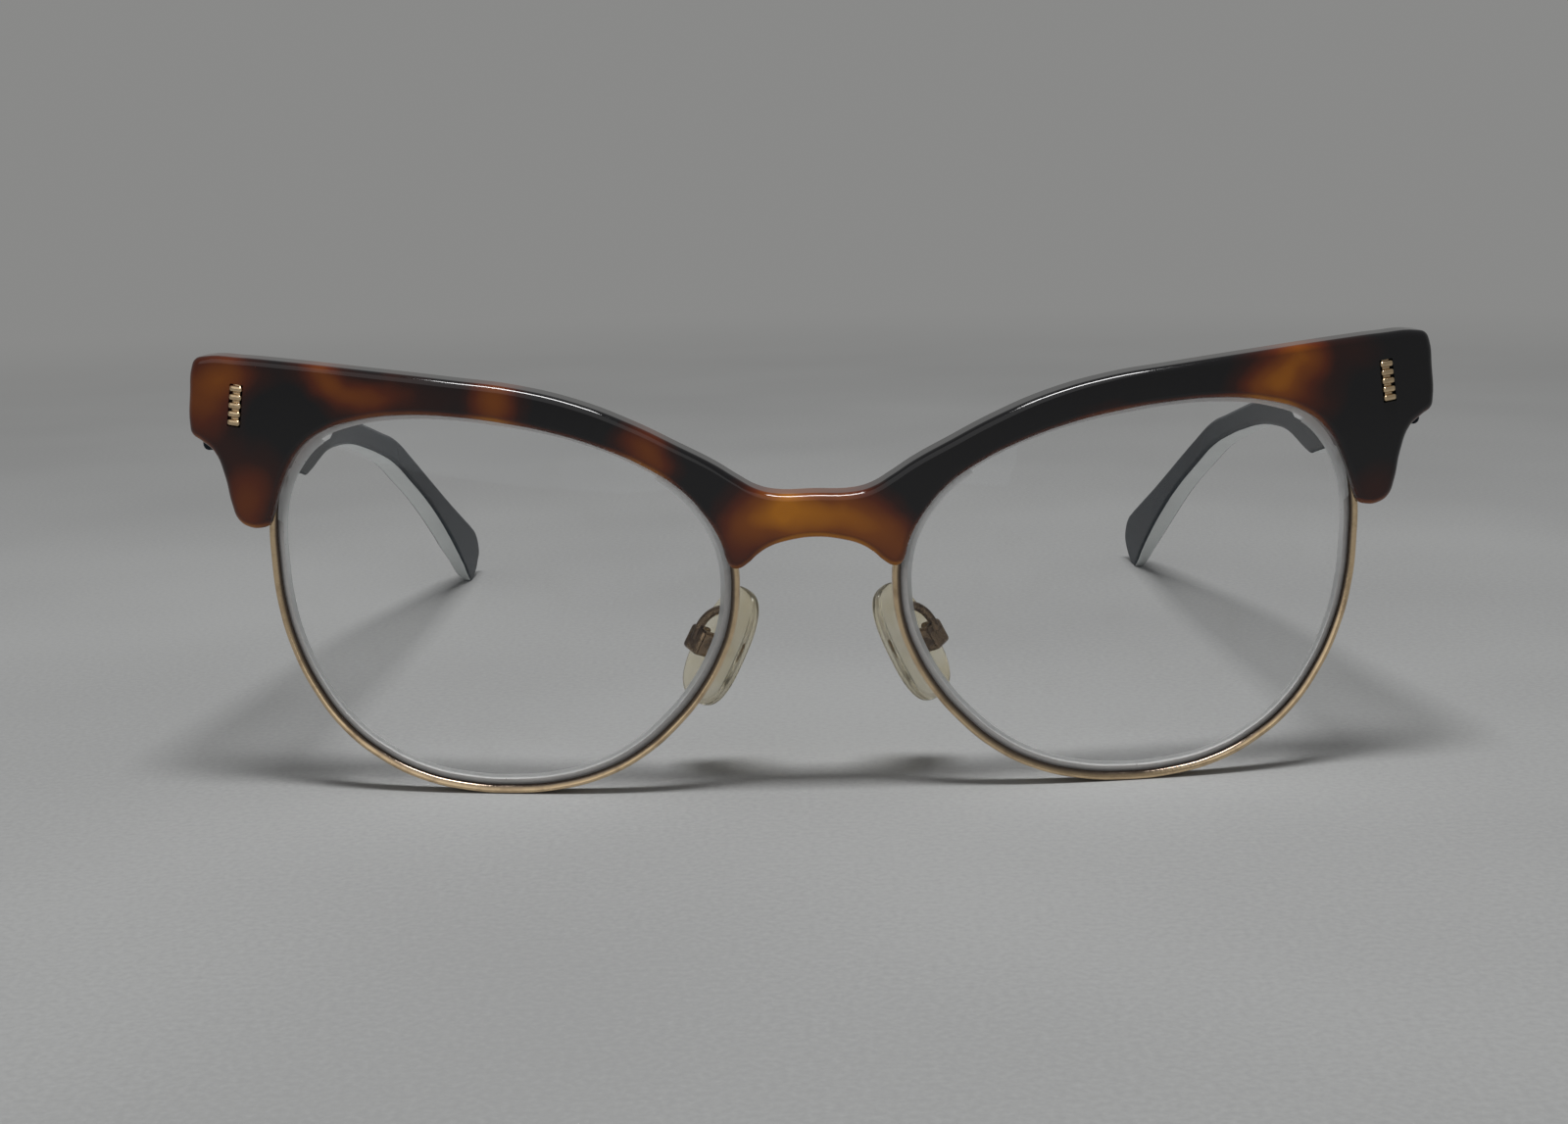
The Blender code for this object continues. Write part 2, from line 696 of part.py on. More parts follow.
def temple_plate_outline(grow=0.0):
    """The plate of the temple hinge half on the inner side, as Y and Z from the pivot: round at its back."""
    slope = math.tan(temple_slope())
    half = hinge_height / 2 - 2 * seat_gap + grow
    start = knuckle_radius + 2 * seat_gap + seat_gap / 2 - grow
    bend_at = start + temple_plate_length - half + grow
    points = [Vector((start, -half)), Vector((bend_at, -half))]
    for step in range(1, tab_arc_steps):
        turn = math.pi * step / tab_arc_steps
        points.append(Vector((bend_at + half * math.sin(turn), -half * math.cos(turn))))
    points += [Vector((bend_at, half)), Vector((start, half))]
    return [Vector((point.x, point.y - point.x * slope)) for point in points]


def across_temple(point, level):
    """Position in the temple's frame of a point of its side view, level outwards from the pivot."""
    return Vector((level, point.x, point.y))


def core_path():
    """The middle line of the core wire, from the hinge end into the drop end."""
    rows = temple_stations()
    path = []
    for station in range(core_stations):
        share = core_start_share + (core_end_share - core_start_share) * station / (core_stations - 1)
        index = max(k for k in range(len(rows) - 1) if rows[k].x <= share)
        blend = (share - rows[index].x) / (rows[index + 1].x - rows[index].x)
        row = rows[index].lerp(rows[index + 1], blend)
        fade = max(0.0, 1 - share / temple_taper_start_share)
        outwards = temple_width(share) / 2 + core_outset * fade
        path.append(temple_point(outwards, share * temple_length, (row.y + row.z) / 2 * temple_height))
    return smooth(path, outline_steps)


def tube(path, radius, sides):
    """A round bar along a path that keeps its sections square to the path."""
    rings = []
    side = Vector((1, 0, 0))
    for index, point in enumerate(path):
        along = (path[min(index + 1, len(path) - 1)] - path[max(index - 1, 0)]).normalized()
        side = (side - along * side.dot(along)).normalized()
        up = along.cross(side)
        rings.append([point + side * p.x + up * p.y for p in circle(Vector((0, 0)), radius, sides)])
    return loft(rings)


def build_temple(holder):
    """A temple: a deep front section with a square corner, a thin waist and a drop end that widens."""
    bm = loft([temple_ring(row.x, row.y, row.z) for row in temple_stations()])
    mitre = Matrix.Rotation(hinge_angle - temple_toe_in, 3, "Z") @ Vector((0, -1, 0))
    geometry = bm.verts[:] + bm.edges[:] + bm.faces[:]
    cut = bmesh.ops.bisect_plane(
        bm, geom=geometry, dist=0, plane_co=Vector((temple_inner, temple_start_y, 0)) - mitre * seat_gap,
        plane_no=mitre, clear_outer=True,
    )
    edges = [item for item in cut["geom_cut"] if isinstance(item, bmesh.types.BMEdge)]
    bmesh.ops.contextual_create(bm, geom=edges)
    bmesh.ops.recalc_face_normals(bm, faces=bm.faces)
    temple = piece("left_temple", bm, dark_acetate, parent=holder)
    bed = prism(
        temple_plate_outline(seat_gap), across_temple, temple_inner - overrun,
        temple_inner + plate_thickness + seat_gap,
    )
    combine(temple, tool("temple_plate_bed", bed, holder))
    path = core_path()
    mouth = path[0] + (path[0] - path[1]).normalized() * temple_height
    end = path[-1] + (path[-1] - path[-2]).normalized() * seat_gap
    bore = tube([mouth, *path[:-1], end], core_radius + seat_gap, core_sides)
    combine(temple, tool("core_bore", bore, holder))
    return temple


def build_temple_core(holder):
    """The core wire of a temple."""
    return piece("left_temple_core", tube(core_path(), core_radius, core_sides), steel, parent=holder)


def build_temple_hinge(holder):
    """The temple's half of a hinge: a plate in its inner side with two knuckles."""
    plate = prism(temple_plate_outline(), across_temple, temple_inner, temple_inner + plate_thickness)
    hinge = piece("left_temple_hinge", plate, dull_gold, parent=holder)
    start = knuckle_radius + 2 * seat_gap + seat_gap / 2
    middle = temple_inner + plate_thickness / 2
    outline = knuckle_arc(temple_barrel_turns)
    outline += [Vector((knuckle_radius, knuckle_radius)), Vector((middle, start + seat_gap))]
    outline.append(Vector((middle, start + leaf_thickness)))
    outline.append(Vector((temple_inner - seat_gap, start + leaf_thickness)))
    for index, (low, high) in enumerate(knuckle_levels(1)):
        bm = prism(outline, lambda p, z: Vector((p.x, p.y, z)), low, high)
        combine(hinge, tool(f"temple_knuckle_{index}", bm, holder), "UNION")
    hole = circle(Vector((0, 0)), screw_radius + seat_gap, screw_sides)
    bm = prism(hole, lambda p, z: Vector((p.x, p.y, z)), -hinge_height, hinge_height)
    combine(hinge, tool("temple_hinge_hole", bm, holder))
    return hinge


pad_down = Vector((math.sin(pad_splay), 0, -math.cos(pad_splay)))
pad_side = Vector((math.cos(pad_splay), 0, math.sin(pad_splay)))
pad_normal = -pad_side * math.cos(pad_turn) + Vector((0, math.sin(pad_turn), 0))
pad_across = Vector((0, math.cos(pad_turn), 0)) + pad_side * math.sin(pad_turn)
pad_centre = Vector((pad_spacing / 2, pad_setback, lens_middle_z + pad_height_share * lens_half_height))
pad_pivot = pad_centre - pad_normal * pad_axis_depth


def pad_place(across, down, out):
    """Position given from the pad's screw: across its width, down its length and out towards the nose."""
    return pad_pivot + pad_across * across + pad_down * down + pad_normal * out


def pad_ring(scale, out):
    """The rounded outline of a nose pad, narrower at its top."""
    ring = []
    for side in range(pad_outline_sides):
        turn = 2 * math.pi * side / pad_outline_sides
        powers = abs(math.cos(turn)) ** pad_squareness + abs(math.sin(turn)) ** pad_squareness
        reach = powers ** (-1 / pad_squareness)
        down = math.sin(turn) * reach
        across = math.cos(turn) * reach * (1 + pad_taper_share * (down - 1) / 2)
        ring.append(pad_place(across * scale * pad_width / 2, down * scale * pad_length / 2, out))
    return ring


def build_nose_pad():
    """A nose pad: a soft rounded plate with a tongue that its screw passes through."""
    half = pad_thickness / 2
    profile = [(scale, pad_axis_depth - half * out) for scale, out in pad_round_shares]
    profile += [(scale, pad_axis_depth + half * out) for scale, out in reversed(pad_round_shares)]
    body = loft([pad_ring(scale, out) for scale, out in profile])
    pad = piece("left_nose_pad", body, silicone, origin=pad_pivot)
    outline = [
        tongue_radius * Vector((math.cos(turn), math.sin(turn)))
        for turn in (math.pi * (1 + step / tab_arc_steps) for step in range(tab_arc_steps + 1))
    ]
    outline += [Vector((tongue_radius, pad_axis_depth)), Vector((-tongue_radius, pad_axis_depth))]
    half_tongue = tongue_thickness / 2
    bm = prism(outline, lambda p, a: pad_place(a, p.x, p.y), -half_tongue, half_tongue)
    combine(pad, tool("pad_tongue", bm), "UNION")
    hole = circle(Vector((0, 0)), pad_screw_radius + seat_gap, core_sides)
    bm = prism(hole, lambda p, a: pad_place(a, p.x, p.y), -tongue_radius * 2, tongue_radius * 2)
    combine(pad, tool("pad_hole", bm))
    return pad


def build_pad_screw():
    """The small screw on which a nose pad rocks."""
    reach = tongue_thickness / 2 + seat_gap + box_wall
    head = pad_screw_radius * 2
    rings = [
        [pad_place(across, p.x, p.y) for p in circle(Vector((0, 0)), size, core_sides)]
        for size, across in (
            (pad_screw_radius, -reach), (pad_screw_radius, reach + seat_gap), (head, reach + seat_gap),
            (head, reach + 2 * seat_gap),
        )
    ]
    return piece("left_pad_screw", loft(rings), gold)


def build_pad_arm(loop):
    """A pad arm: a wire from the back of the rim to a small open box that holds the pad's tongue."""
    inner = tongue_thickness / 2 + seat_gap
    outer = inner + box_wall
    back = -tongue_radius - seat_gap - box_wall
    mouth = pad_axis_depth - pad_thickness
    floor = -tongue_radius - seat_gap
    outline = [
        Vector(point) for point in (
            (-outer, back), (outer, back), (outer, mouth), (inner, mouth), (inner, floor), (-inner, floor),
            (-inner, mouth), (-outer, mouth),
        )
    ]
    bm = prism(outline, lambda p, d: pad_place(p.x, d, p.y), -box_length / 2, box_length / 2)
    arm = piece("left_pad_arm", bm, dull_gold)
    root_point = loop_stretch(loop, arm_root_share, arm_root_share)[0]
    root = on_front(root_point, rim_recess + rim_depth / 2 + seat_gap)
    root.y += face_depth(root_point.x)
    tip = pad_place(0, 0, back + box_wall / 2)
    span = tip - root
    path = [root + Vector((x * span.x, y * span.y, z * arm_rise)) for x, y, z in arm_path_shares]
    path.append(tip)
    combine(arm, tool("arm_wire", tube(smooth(path, outline_steps), arm_radius, core_sides)), "UNION")
    hole = circle(Vector((0, 0)), pad_screw_radius + seat_gap, core_sides)
    bm = prism(hole, lambda p, a: pad_place(a, p.x, p.y), -tongue_radius * 2, tongue_radius * 2)
    combine(arm, tool("pad_box_hole", bm))
    return arm


def centre_depth(temple, holder):
    """Moves everything so that the origin lies halfway between the bridge and the rear of the temples."""
    rear = max((holder.matrix_world @ vert.co).y for vert in temple.data.vertices)
    for thing in bpy.data.objects:
        if thing.parent is None:
            thing.location.y -= rear / 2


def temple_holder(name, side):
    """The pivot that carries a temple, turned by its toe-in."""
    holder = bpy.data.objects.new(name, None)
    holder.location = Vector((side * pivot.x, pivot.y, pivot.z))
    holder.rotation_euler = (0, 0, side * temple_toe_in)
    bpy.context.scene.collection.objects.link(holder)
    return holder


def build():
    """Makes every piece."""
    clear_scene()
    loop = lens_loop()
    build_brow(loop)
    fixed = [
        build_lens(loop), build_rim(loop), build_rim_screw(loop, "nasal", rim_nasal_share),
        build_rim_screw(loop, "temporal", rim_temporal_share), build_inlay(), build_front_hinge(),
        build_hinge_screw(), build_pad_arm(loop), build_pad_screw(), build_nose_pad(),
    ]
    left_holder = temple_holder("left_temple_pivot", 1)
    right_holder = temple_holder("right_temple_pivot", -1)
    moving = [build_temple(left_holder), build_temple_core(left_holder), build_temple_hinge(left_holder)]
    bpy.context.view_layer.update()
    for left in fixed:
        mirror_piece(left)
    for left in moving:
        mirror_piece(left, right_holder)
    centre_depth(moving[0], left_holder)


build()
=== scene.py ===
"""Cat-eye browline spectacles, dressed over the CAD frame.

The shapes are worked in millimetres in the CAD's own frame, and each piece becomes metres when it is placed.
"""

import math

import bmesh
import bpy
from mathutils import Matrix, Vector


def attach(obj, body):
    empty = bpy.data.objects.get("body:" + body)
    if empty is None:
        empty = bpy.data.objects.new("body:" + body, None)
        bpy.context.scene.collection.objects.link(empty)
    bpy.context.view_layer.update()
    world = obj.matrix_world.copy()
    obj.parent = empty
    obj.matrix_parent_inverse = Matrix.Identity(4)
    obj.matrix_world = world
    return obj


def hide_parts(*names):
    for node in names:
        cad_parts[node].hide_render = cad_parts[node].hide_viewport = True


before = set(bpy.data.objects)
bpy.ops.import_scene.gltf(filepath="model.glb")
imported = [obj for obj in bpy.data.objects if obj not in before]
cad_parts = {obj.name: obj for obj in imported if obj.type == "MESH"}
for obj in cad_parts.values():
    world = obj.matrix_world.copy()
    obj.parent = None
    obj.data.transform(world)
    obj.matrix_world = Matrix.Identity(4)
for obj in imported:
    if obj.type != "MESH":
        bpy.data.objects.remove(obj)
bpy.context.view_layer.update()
scene = bpy.context.scene


# Floor and backdrop: pale grey cloth, on which the spectacles stand open. Further off it fades into a plain
# grey backdrop that is only there to be looked at, while its light stays that of the cloth.
floor_radius = 3.0
fade_start = 0.1
fade_end = 0.75
cloth_hollows_painted_shade = (0.300, 0.303, 0.302, 1)
cloth_ridges = (0.358, 0.362, 0.360, 1)
backdrop_grey = (0.252, 0.252, 0.248, 1)
sky_grey = (0.5, 0.5, 0.5, 1)
sky_strength = 0.2

bm = bmesh.new()
bmesh.ops.create_circle(bm, cap_ends=True, segments=64, radius=floor_radius)
floor_mesh = bpy.data.meshes.new("floor")
bm.to_mesh(floor_mesh)
bm.free()
floor = bpy.data.objects.new("floor", floor_mesh)
scene.collection.objects.link(floor)


class Wire:
    """One output of a shader node. Sums on it add Math nodes."""

    def __init__(self, tree, socket=None):
        self.tree = tree
        self.socket = socket

    def node(self, kind, sockets=None, output=0, **settings):
        """Adds a node: first its settings and a ramp's stops, then the values or links of its sockets."""
        made = self.tree.nodes.new("ShaderNode" + kind)
        for stop, (place, colour) in enumerate(settings.pop("stops", ())):
            if stop > 1:
                made.color_ramp.elements.new(place)
            made.color_ramp.elements[stop].position = place
            made.color_ramp.elements[stop].color = (*colour, 1)
        for name, value in settings.items():
            setattr(made, name, value)
        self.fill(made, sockets or {})
        return Wire(self.tree, made.outputs[output])

    def fill(self, made, sockets):
        """Sets or links the sockets of a node."""
        for name, value in sockets.items():
            if isinstance(value, Wire):
                self.tree.links.new(value.socket, made.inputs[name])
            else:
                made.inputs[name].default_value = value

    def show(self, share, first, second, end="Material Output"):
        """Ends a tree in one shader, and in another as far as the share says."""
        surface = self.node("MixShader", {0: share, 1: Wire(self.tree, first.outputs[0]), 2: second})
        self.fill(self.tree.nodes[end], {"Surface": surface})

    def coordinate(self, kind="Object"):
        """Where a point lies on its object, in metres, or with Normal which way the surface faces there."""
        return self.node("TexCoord", output=kind)

    def axis(self, name):
        """The X, Y or Z of a place or a direction."""
        return self.node("SeparateXYZ", {0: self}, output=name)

    def length(self):
        return self.node("VectorMath", {0: self}, output="Value", operation="LENGTH")

    def vector(self, operation, first, second):
        return self.node("VectorMath", {0: first, 1: second}, operation=operation)

    def math(self, operation, first, second):
        return self.node("Math", {0: first, 1: second}, operation=operation)

    def mix(self, share, first, second):
        """A colour between two others."""
        return self.node("Mix", {0: share, 6: first, 7: second}, output=2, data_type="RGBA")

    def noise(self, place, scale, detail=3.0, roughness=0.5):
        """Random spots from 0 to 1. The scale is about how many there are in a metre."""
        sockets = {"Vector": place, "Scale": scale, "Detail": detail, "Roughness": roughness}
        return self.node("TexNoise", sockets)

    def relief(self, height, strength, depth=0.0002):
        """The normal of a surface that a height makes uneven."""
        return self.node("Bump", {"Height": height, "Strength": strength, "Distance": depth})

    def step(self, low, high):
        """Rises smoothly from 0 to 1 as the value goes from low to high."""
        sockets = {"Value": self, "From Min": low, "From Max": high}
        return self.node("MapRange", sockets, interpolation_type="SMOOTHSTEP")

    def sign(self):
        return self.node("Math", {0: self}, operation="SIGN")

    def __neg__(self):
        return self.math("SUBTRACT", 0, self)

    def __add__(self, other):
        return self.math("ADD", self, other)

    def __radd__(self, other):
        return self.math("ADD", other, self)

    def __sub__(self, other):
        return self.math("SUBTRACT", self, other)

    def __rsub__(self, other):
        return self.math("SUBTRACT", other, self)

    def __mul__(self, other):
        return self.math("MULTIPLY", self, other)

    def __rmul__(self, other):
        return self.math("MULTIPLY", other, self)


def finish(name):
    """A new material, its shader and the start of its sums."""
    material = bpy.data.materials.new(name)
    material.use_nodes = True
    return material, material.node_tree.nodes["Principled BSDF"], Wire(material.node_tree)


def looked_at(shade):
    """1 on what is seen, straight, mirrored or through glass, and 0 on what only lights other things."""
    seen = shade.node("LightPath", output="Is Camera Ray")
    for way in ("Is Transmission Ray", "Is Glossy Ray"):
        seen = shade.math("MAXIMUM", seen, shade.node("LightPath", output=way))
    return seen


cloth, shader, shade = finish("pale_floor")
place = shade.coordinate()
weave = shade.noise(place, scale=1400.0, detail=2.0)
waves = shade.noise(place, scale=9.0, detail=2.0)
# Darker where the bumps sink: partly the weave's own tone, partly painted shade in the hollows of the waves.
tone = waves * 0.6 + weave * 0.4
shade.fill(shader, {
    "Base Color": shade.mix(tone.step(0.3, 0.7), cloth_hollows_painted_shade, cloth_ridges),
    "Roughness": 0.9,
    "Specular IOR Level": 0.1,
    "Normal": shade.relief(weave * 0.1 + waves, strength=0.25, depth=0.002),
})
haze = shade.node("Emission", {"Color": backdrop_grey, "Strength": 1.0})
shade.show(place.length().step(fade_start, fade_end) * looked_at(shade), shader, haze)
floor_mesh.materials.append(cloth)

world = bpy.data.worlds.new("studio")
world.use_nodes = True
scene.world = world
sky = Wire(world.node_tree)
ambient = world.node_tree.nodes["Background"]
sky.fill(ambient, {"Color": sky_grey, "Strength": sky_strength})
backdrop = sky.node("Background", {"Color": backdrop_grey, "Strength": 1.0})
sky.show(looked_at(sky), ambient, backdrop, end="World Output")

# Neither haze nor backdrop is sampled as a lamp, because they are only there to be looked at.
cloth.cycles.emission_sampling = "NONE"
world.cycles.sampling_method = "NONE"


# Lamps: a small bright one overhead, which casts the shadows and draws the highlights on the top edges, and
# a broad faint one in front, a little to the left, which lights the faces. Both are soft and white.
for name, width, depth, power, spot, turn in (
    ("lamp_overhead", 0.44, 0.20, 9.0, (0.0, -0.25, 1.0), (14, 0, 0)),
    ("lamp_front", 1.6, 1.6, 3.8, (-0.35, -1.1, 0.75), (60, 0, -18)),
):
    lamp = bpy.data.lights.new(name, "AREA")
    lamp.shape = "RECTANGLE"
    lamp.size = width
    lamp.size_y = depth
    lamp.energy = power
    holder = bpy.data.objects.new(name, lamp)
    holder.location = spot
    holder.rotation_euler = [math.radians(angle) for angle in turn]
    scene.collection.objects.link(holder)


# Camera: it looks at the front from close by and a little above, tilted down, and turned and rolled by
# about a degree, as in the photograph.
camera = bpy.data.cameras.new("camera")
camera.sensor_width = 36.0
camera.lens = 50.2
camera.clip_start = 0.01
viewer = bpy.data.objects.new("camera", camera)
spot = Matrix.Translation((-0.0040, -0.30987, 0.07075))
turned = Matrix.Rotation(math.radians(-0.11), 4, "Z")
tilted = Matrix.Rotation(math.radians(-10.4), 4, "X")
rolled = Matrix.Rotation(math.radians(1.24), 4, "Y")
ahead = Matrix.Rotation(math.radians(90), 4, "X")
viewer.matrix_world = spot @ turned @ tilted @ rolled @ ahead
scene.collection.objects.link(viewer)
scene.camera = viewer
scene.view_settings.view_transform = "Standard"


# Brow bar: one piece of tortoise acetate, sawn from a bent 5 mm sheet and polished round its edges. It is
# let in behind for the rims, their tabs and the hinge plates, and in front for the two inlays.
front_y = -71.93
face_radius = 300.0
brow_thickness = 5.0
brow_rounding = 0.8

# The outline of one half in X and Z: from under the bridge, along the lens, round the end piece and back.
brow_half = (
    (0, 29.7), (3.0, 29.35), (5.1, 28.7), (6.5, 27.8), (7.5, 26.9), (8.6, 26.3), (9.4, 26.45), (9.9, 27.2),
    (10.4, 29.0), (12.1, 32.1), (14.6, 35.0), (18.4, 37.6), (23.1, 39.8), (28.2, 41.5), (33.6, 42.7),
    (39.3, 43.5), (45.2, 43.8), (50.5, 43.3), (55.1, 41.9), (58.0, 39.6), (59.8, 36.5), (61.35, 32.2),
    (61.7, 31.4), (62.7, 31.0), (64.2, 31.1), (65.4, 31.9), (66.1, 33.7), (66.7, 36.8), (67.8, 39.7),
    (69.2, 40.9), (70.3, 41.75), (70.5, 42.7), (70.25, 46.5), (69.85, 49.3), (69.35, 50.2), (68.4, 50.5),
    (64.0, 50.35), (60.0, 50.0), (50.0, 48.9), (40.0, 47.7), (33.0, 46.75), (26.0, 45.0), (20.0, 42.6),
    (15.0, 40.1), (11.0, 38.0), (8.5, 36.4), (6.5, 35.25), (4.5, 34.7), (0, 34.65),
)


def solid_of(curve):
    """The mesh of a curve, with its seams closed."""
    holder = bpy.data.objects.new(curve.name, curve)
    scene.collection.objects.link(holder)
    mesh = bpy.data.meshes.new_from_object(holder.evaluated_get(bpy.context.evaluated_depsgraph_get()))
    bm = bmesh.new()
    bm.from_mesh(mesh)
    bpy.data.objects.remove(holder)
    bmesh.ops.remove_doubles(bm, verts=bm.verts, dist=0.0005)
    return bm


def outline(points, corners=()):
    """A smooth flat closed curve through points, with corners where it is given their numbers."""
    curve = bpy.data.curves.new("outline", "CURVE")
    curve.dimensions = "2D"
    curve.resolution_u = 5
    spline = curve.splines.new("BEZIER")
    spline.bezier_points.add(len(points) - 1)
    for number, (knot, point) in enumerate(zip(spline.bezier_points, points)):
        knot.co = (*point, 0)
        knot.handle_left_type = knot.handle_right_type = "VECTOR" if number in corners else "AUTO"
    spline.use_cyclic_u = True
    return curve


def upright(bm):
    """Stands up a shape that was drawn flat, so that its height is Z and its depth is Y."""
    bmesh.ops.rotate(bm, verts=bm.verts, matrix=Matrix.Rotation(math.radians(90), 3, "X"))


def plate(points, thickness, rounding, corners=()):
    """A plate cut along an outline of X and Z points, its front at Y 0, with rounded edges."""
    curve = outline(points, corners)
    curve.fill_mode = "BOTH"
    curve.extrude = thickness / 2 - rounding
    curve.bevel_depth = rounding
    curve.bevel_resolution = 6
    curve.offset = -rounding
    bm = solid_of(curve)
    stand = Matrix.Translation((0, thickness / 2, 0)) @ Matrix.Rotation(math.radians(90), 4, "X")
    bmesh.ops.transform(bm, matrix=stand, verts=bm.verts)
    flat = [face for face in bm.faces if abs(face.normal.y) > 0.9999]
    bmesh.ops.dissolve_faces(bm, faces=flat)
    bmesh.ops.recalc_face_normals(bm, faces=bm.faces)
    return bm


def sweep(points, section):
    """A bar of one section all along an outline. The section is given outwards and backwards from it."""
    curve = outline(points)
    profile = bpy.data.curves.new("section", "CURVE")
    profile.dimensions = "2D"
    spline = profile.splines.new("POLY")
    spline.points.add(len(section) - 1)
    for knot, (outwards, backwards) in zip(spline.points, section):
        knot.co = (-outwards, -backwards, 0, 1)
    spline.use_cyclic_u = True
    shape = bpy.data.objects.new("section", profile)
    scene.collection.objects.link(shape)
    curve.bevel_mode = "OBJECT"
    curve.bevel_object = shape
    bm = solid_of(curve)
    bpy.data.objects.remove(shape)
    upright(bm)
    bmesh.ops.recalc_face_normals(bm, faces=bm.faces)
    return bm


def carve(bm, *cutters, operation="DIFFERENCE"):
    """Cuts shapes out of a mesh, or joins them on."""
    shapes = []
    for shape in (bm, *cutters):
        mesh = bpy.data.meshes.new("shape")
        shape.to_mesh(mesh)
        shape.free()
        shapes.append(bpy.data.objects.new("shape", mesh))
        scene.collection.objects.link(shapes[-1])
    for cutter in shapes[1:]:
        cut = shapes[0].modifiers.new("cut", "BOOLEAN")
        cut.operation = operation
        cut.solver = "EXACT"
        cut.object = cutter
    made = bmesh.new()
    made.from_mesh(shapes[0].evaluated_get(bpy.context.evaluated_depsgraph_get()).to_mesh())
    for shape in shapes:
        bpy.data.objects.remove(shape)
    return made


def saw(bm, spot, facing, away=False):
    """Cuts a mesh along a plane. What the plane faces is taken away if asked, and the cut closed."""
    geometry = bm.verts[:] + bm.edges[:] + bm.faces[:]
    bmesh.ops.bisect_plane(bm, geom=geometry, plane_co=spot, plane_no=facing, clear_outer=away)
    if away:
        bmesh.ops.holes_fill(bm, edges=[edge for edge in bm.edges if edge.is_boundary])


def bend(bm):
    """Lays a flat front piece on the curved face."""
    for vert in bm.verts:
        vert.co.y += front_y + face_radius - math.sqrt(face_radius ** 2 - vert.co.x ** 2)


def only(kind, parts):
    """The verts, edges or faces among the parts that an operator gives back."""
    return [part for part in parts if isinstance(part, kind)]


def both(bm):
    """Adds the right-hand copy of what the mesh holds."""
    geometry = bm.verts[:] + bm.edges[:] + bm.faces[:]
    copied = bmesh.ops.duplicate(bm, geom=geometry)["geom"]
    bmesh.ops.scale(bm, vec=(-1, 1, 1), verts=only(bmesh.types.BMVert, copied))
    bmesh.ops.reverse_faces(bm, faces=only(bmesh.types.BMFace, copied))
    return bm


def round_edges(bm, edges, radius, segments, **settings):
    """Rounds edges off."""
    bmesh.ops.bevel(
        bm, geom=edges, offset=radius, segments=segments, profile=0.5, affect="EDGES", material=-1,
        **settings,
    )


def block(low, high, rounding=0.0, segments=2):
    """A block between two corners, with rounded edges."""
    bm = bmesh.new()
    bmesh.ops.create_cube(bm)
    size = Vector(high) - Vector(low)
    middle = (Vector(high) + Vector(low)) / 2
    bmesh.ops.transform(bm, matrix=Matrix.Translation(middle) @ Matrix.Diagonal((*size, 1)), verts=bm.verts)
    if rounding:
        round_edges(bm, bm.edges[:], rounding, segments)
    return bm


def hinge_plate(width, height, front, back):
    """A plate between two depths with its four corners rounded, as the hinge has it on the end piece."""
    bm = block((-width / 2, front, -height / 2), (width / 2, back, height / 2))
    ends = ((edge, edge.verts[0].co, edge.verts[1].co) for edge in bm.edges)
    corners = [edge for edge, first, second in ends if abs(first.y - second.y) > (back - front) / 2]
    round_edges(bm, corners, radius=1.0, segments=4)
    return bm


def raise_face(bm, height):
    """Gives a flat shape its height."""
    rise = bmesh.ops.extrude_face_region(bm, geom=bm.faces[:])["geom"]
    bmesh.ops.translate(bm, vec=(0, 0, height), verts=only(bmesh.types.BMVert, rise))


def strap(eye, root, radius, length, low, high):
    """A flat tab with a round end at eye that points away from root, between two depths."""
    bm = bmesh.new()
    bmesh.ops.create_circle(bm, cap_ends=True, segments=32, radius=radius)
    bmesh.ops.translate(bm, vec=(0, -length, 0), verts=[v for v in bm.verts if v.co.y < -0.001])
    raise_face(bm, high - low)
    way = Vector(eye) - Vector(root)
    lean = math.atan2(-way.x, way.y)
    stand = Matrix.Translation((eye[0], high, eye[1])) @ Matrix.Rotation(math.radians(90), 4, "X")
    bmesh.ops.transform(bm, matrix=stand @ Matrix.Rotation(lean, 4, "Z"), verts=bm.verts)
    bmesh.ops.recalc_face_normals(bm, faces=bm.faces)
    return bm


def piece(name, bm, body, node, slot, *materials, right=False, sharp=30):
    """A finished piece on its body in place of its CAD node. The right one is the left one mirrored."""
    mesh = bpy.data.meshes.new(name)
    bm.to_mesh(mesh)
    side = -1 if right else 1
    mesh.transform(Matrix.Diagonal((0.001 * side, 0.001, 0.001, 1)))
    if right:
        mesh.flip_normals()
    mesh.shade_smooth()
    mesh.set_sharp_from_angle(angle=math.radians(sharp))
    for material in materials:
        mesh.materials.append(material)
    thing = bpy.data.objects.new(name, mesh)
    scene.collection.objects.link(thing)
    evened = thing.modifiers.new("even_normals", "WEIGHTED_NORMAL")
    evened.keep_sharp = True
    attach(thing, body)
    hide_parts(node)
    return thing


# The beds in the bar follow the lens outline and the rims' tabs, all in X and Z. A tab has its screw in its
# eye, and comes from the rim at its root.
lens_outline = (
    (9.4, 23.3), (9.85, 19.8), (11.05, 16.3), (13.45, 12.05), (16.7, 8.2), (20.3, 5.1), (24.5, 2.8),
    (29.6, 1.35), (35.0, 0.85), (40.55, 1.15), (45.8, 2.35), (50.25, 4.55), (54.1, 7.65), (57.3, 11.95),
    (59.6, 16.85), (60.9, 22.0), (61.35, 27.2), (61.3, 31.65), (60.5, 35.75), (58.8, 39.05), (56.2, 41.65),
    (51.8, 43.35), (46.65, 44.05), (40.8, 43.95), (34.9, 43.2), (29.4, 42.15), (24.2, 40.6), (19.35, 38.5),
    (15.1, 35.85), (12.35, 33.05), (10.45, 29.9), (9.55, 26.7),
)
tabs = {
    "nasal": ((6.95, 32.5), (10.05, 30.65)),
    "temporal": ((64.1, 38.1), (60.95, 36.5)),
}
tab_radius = 1.4
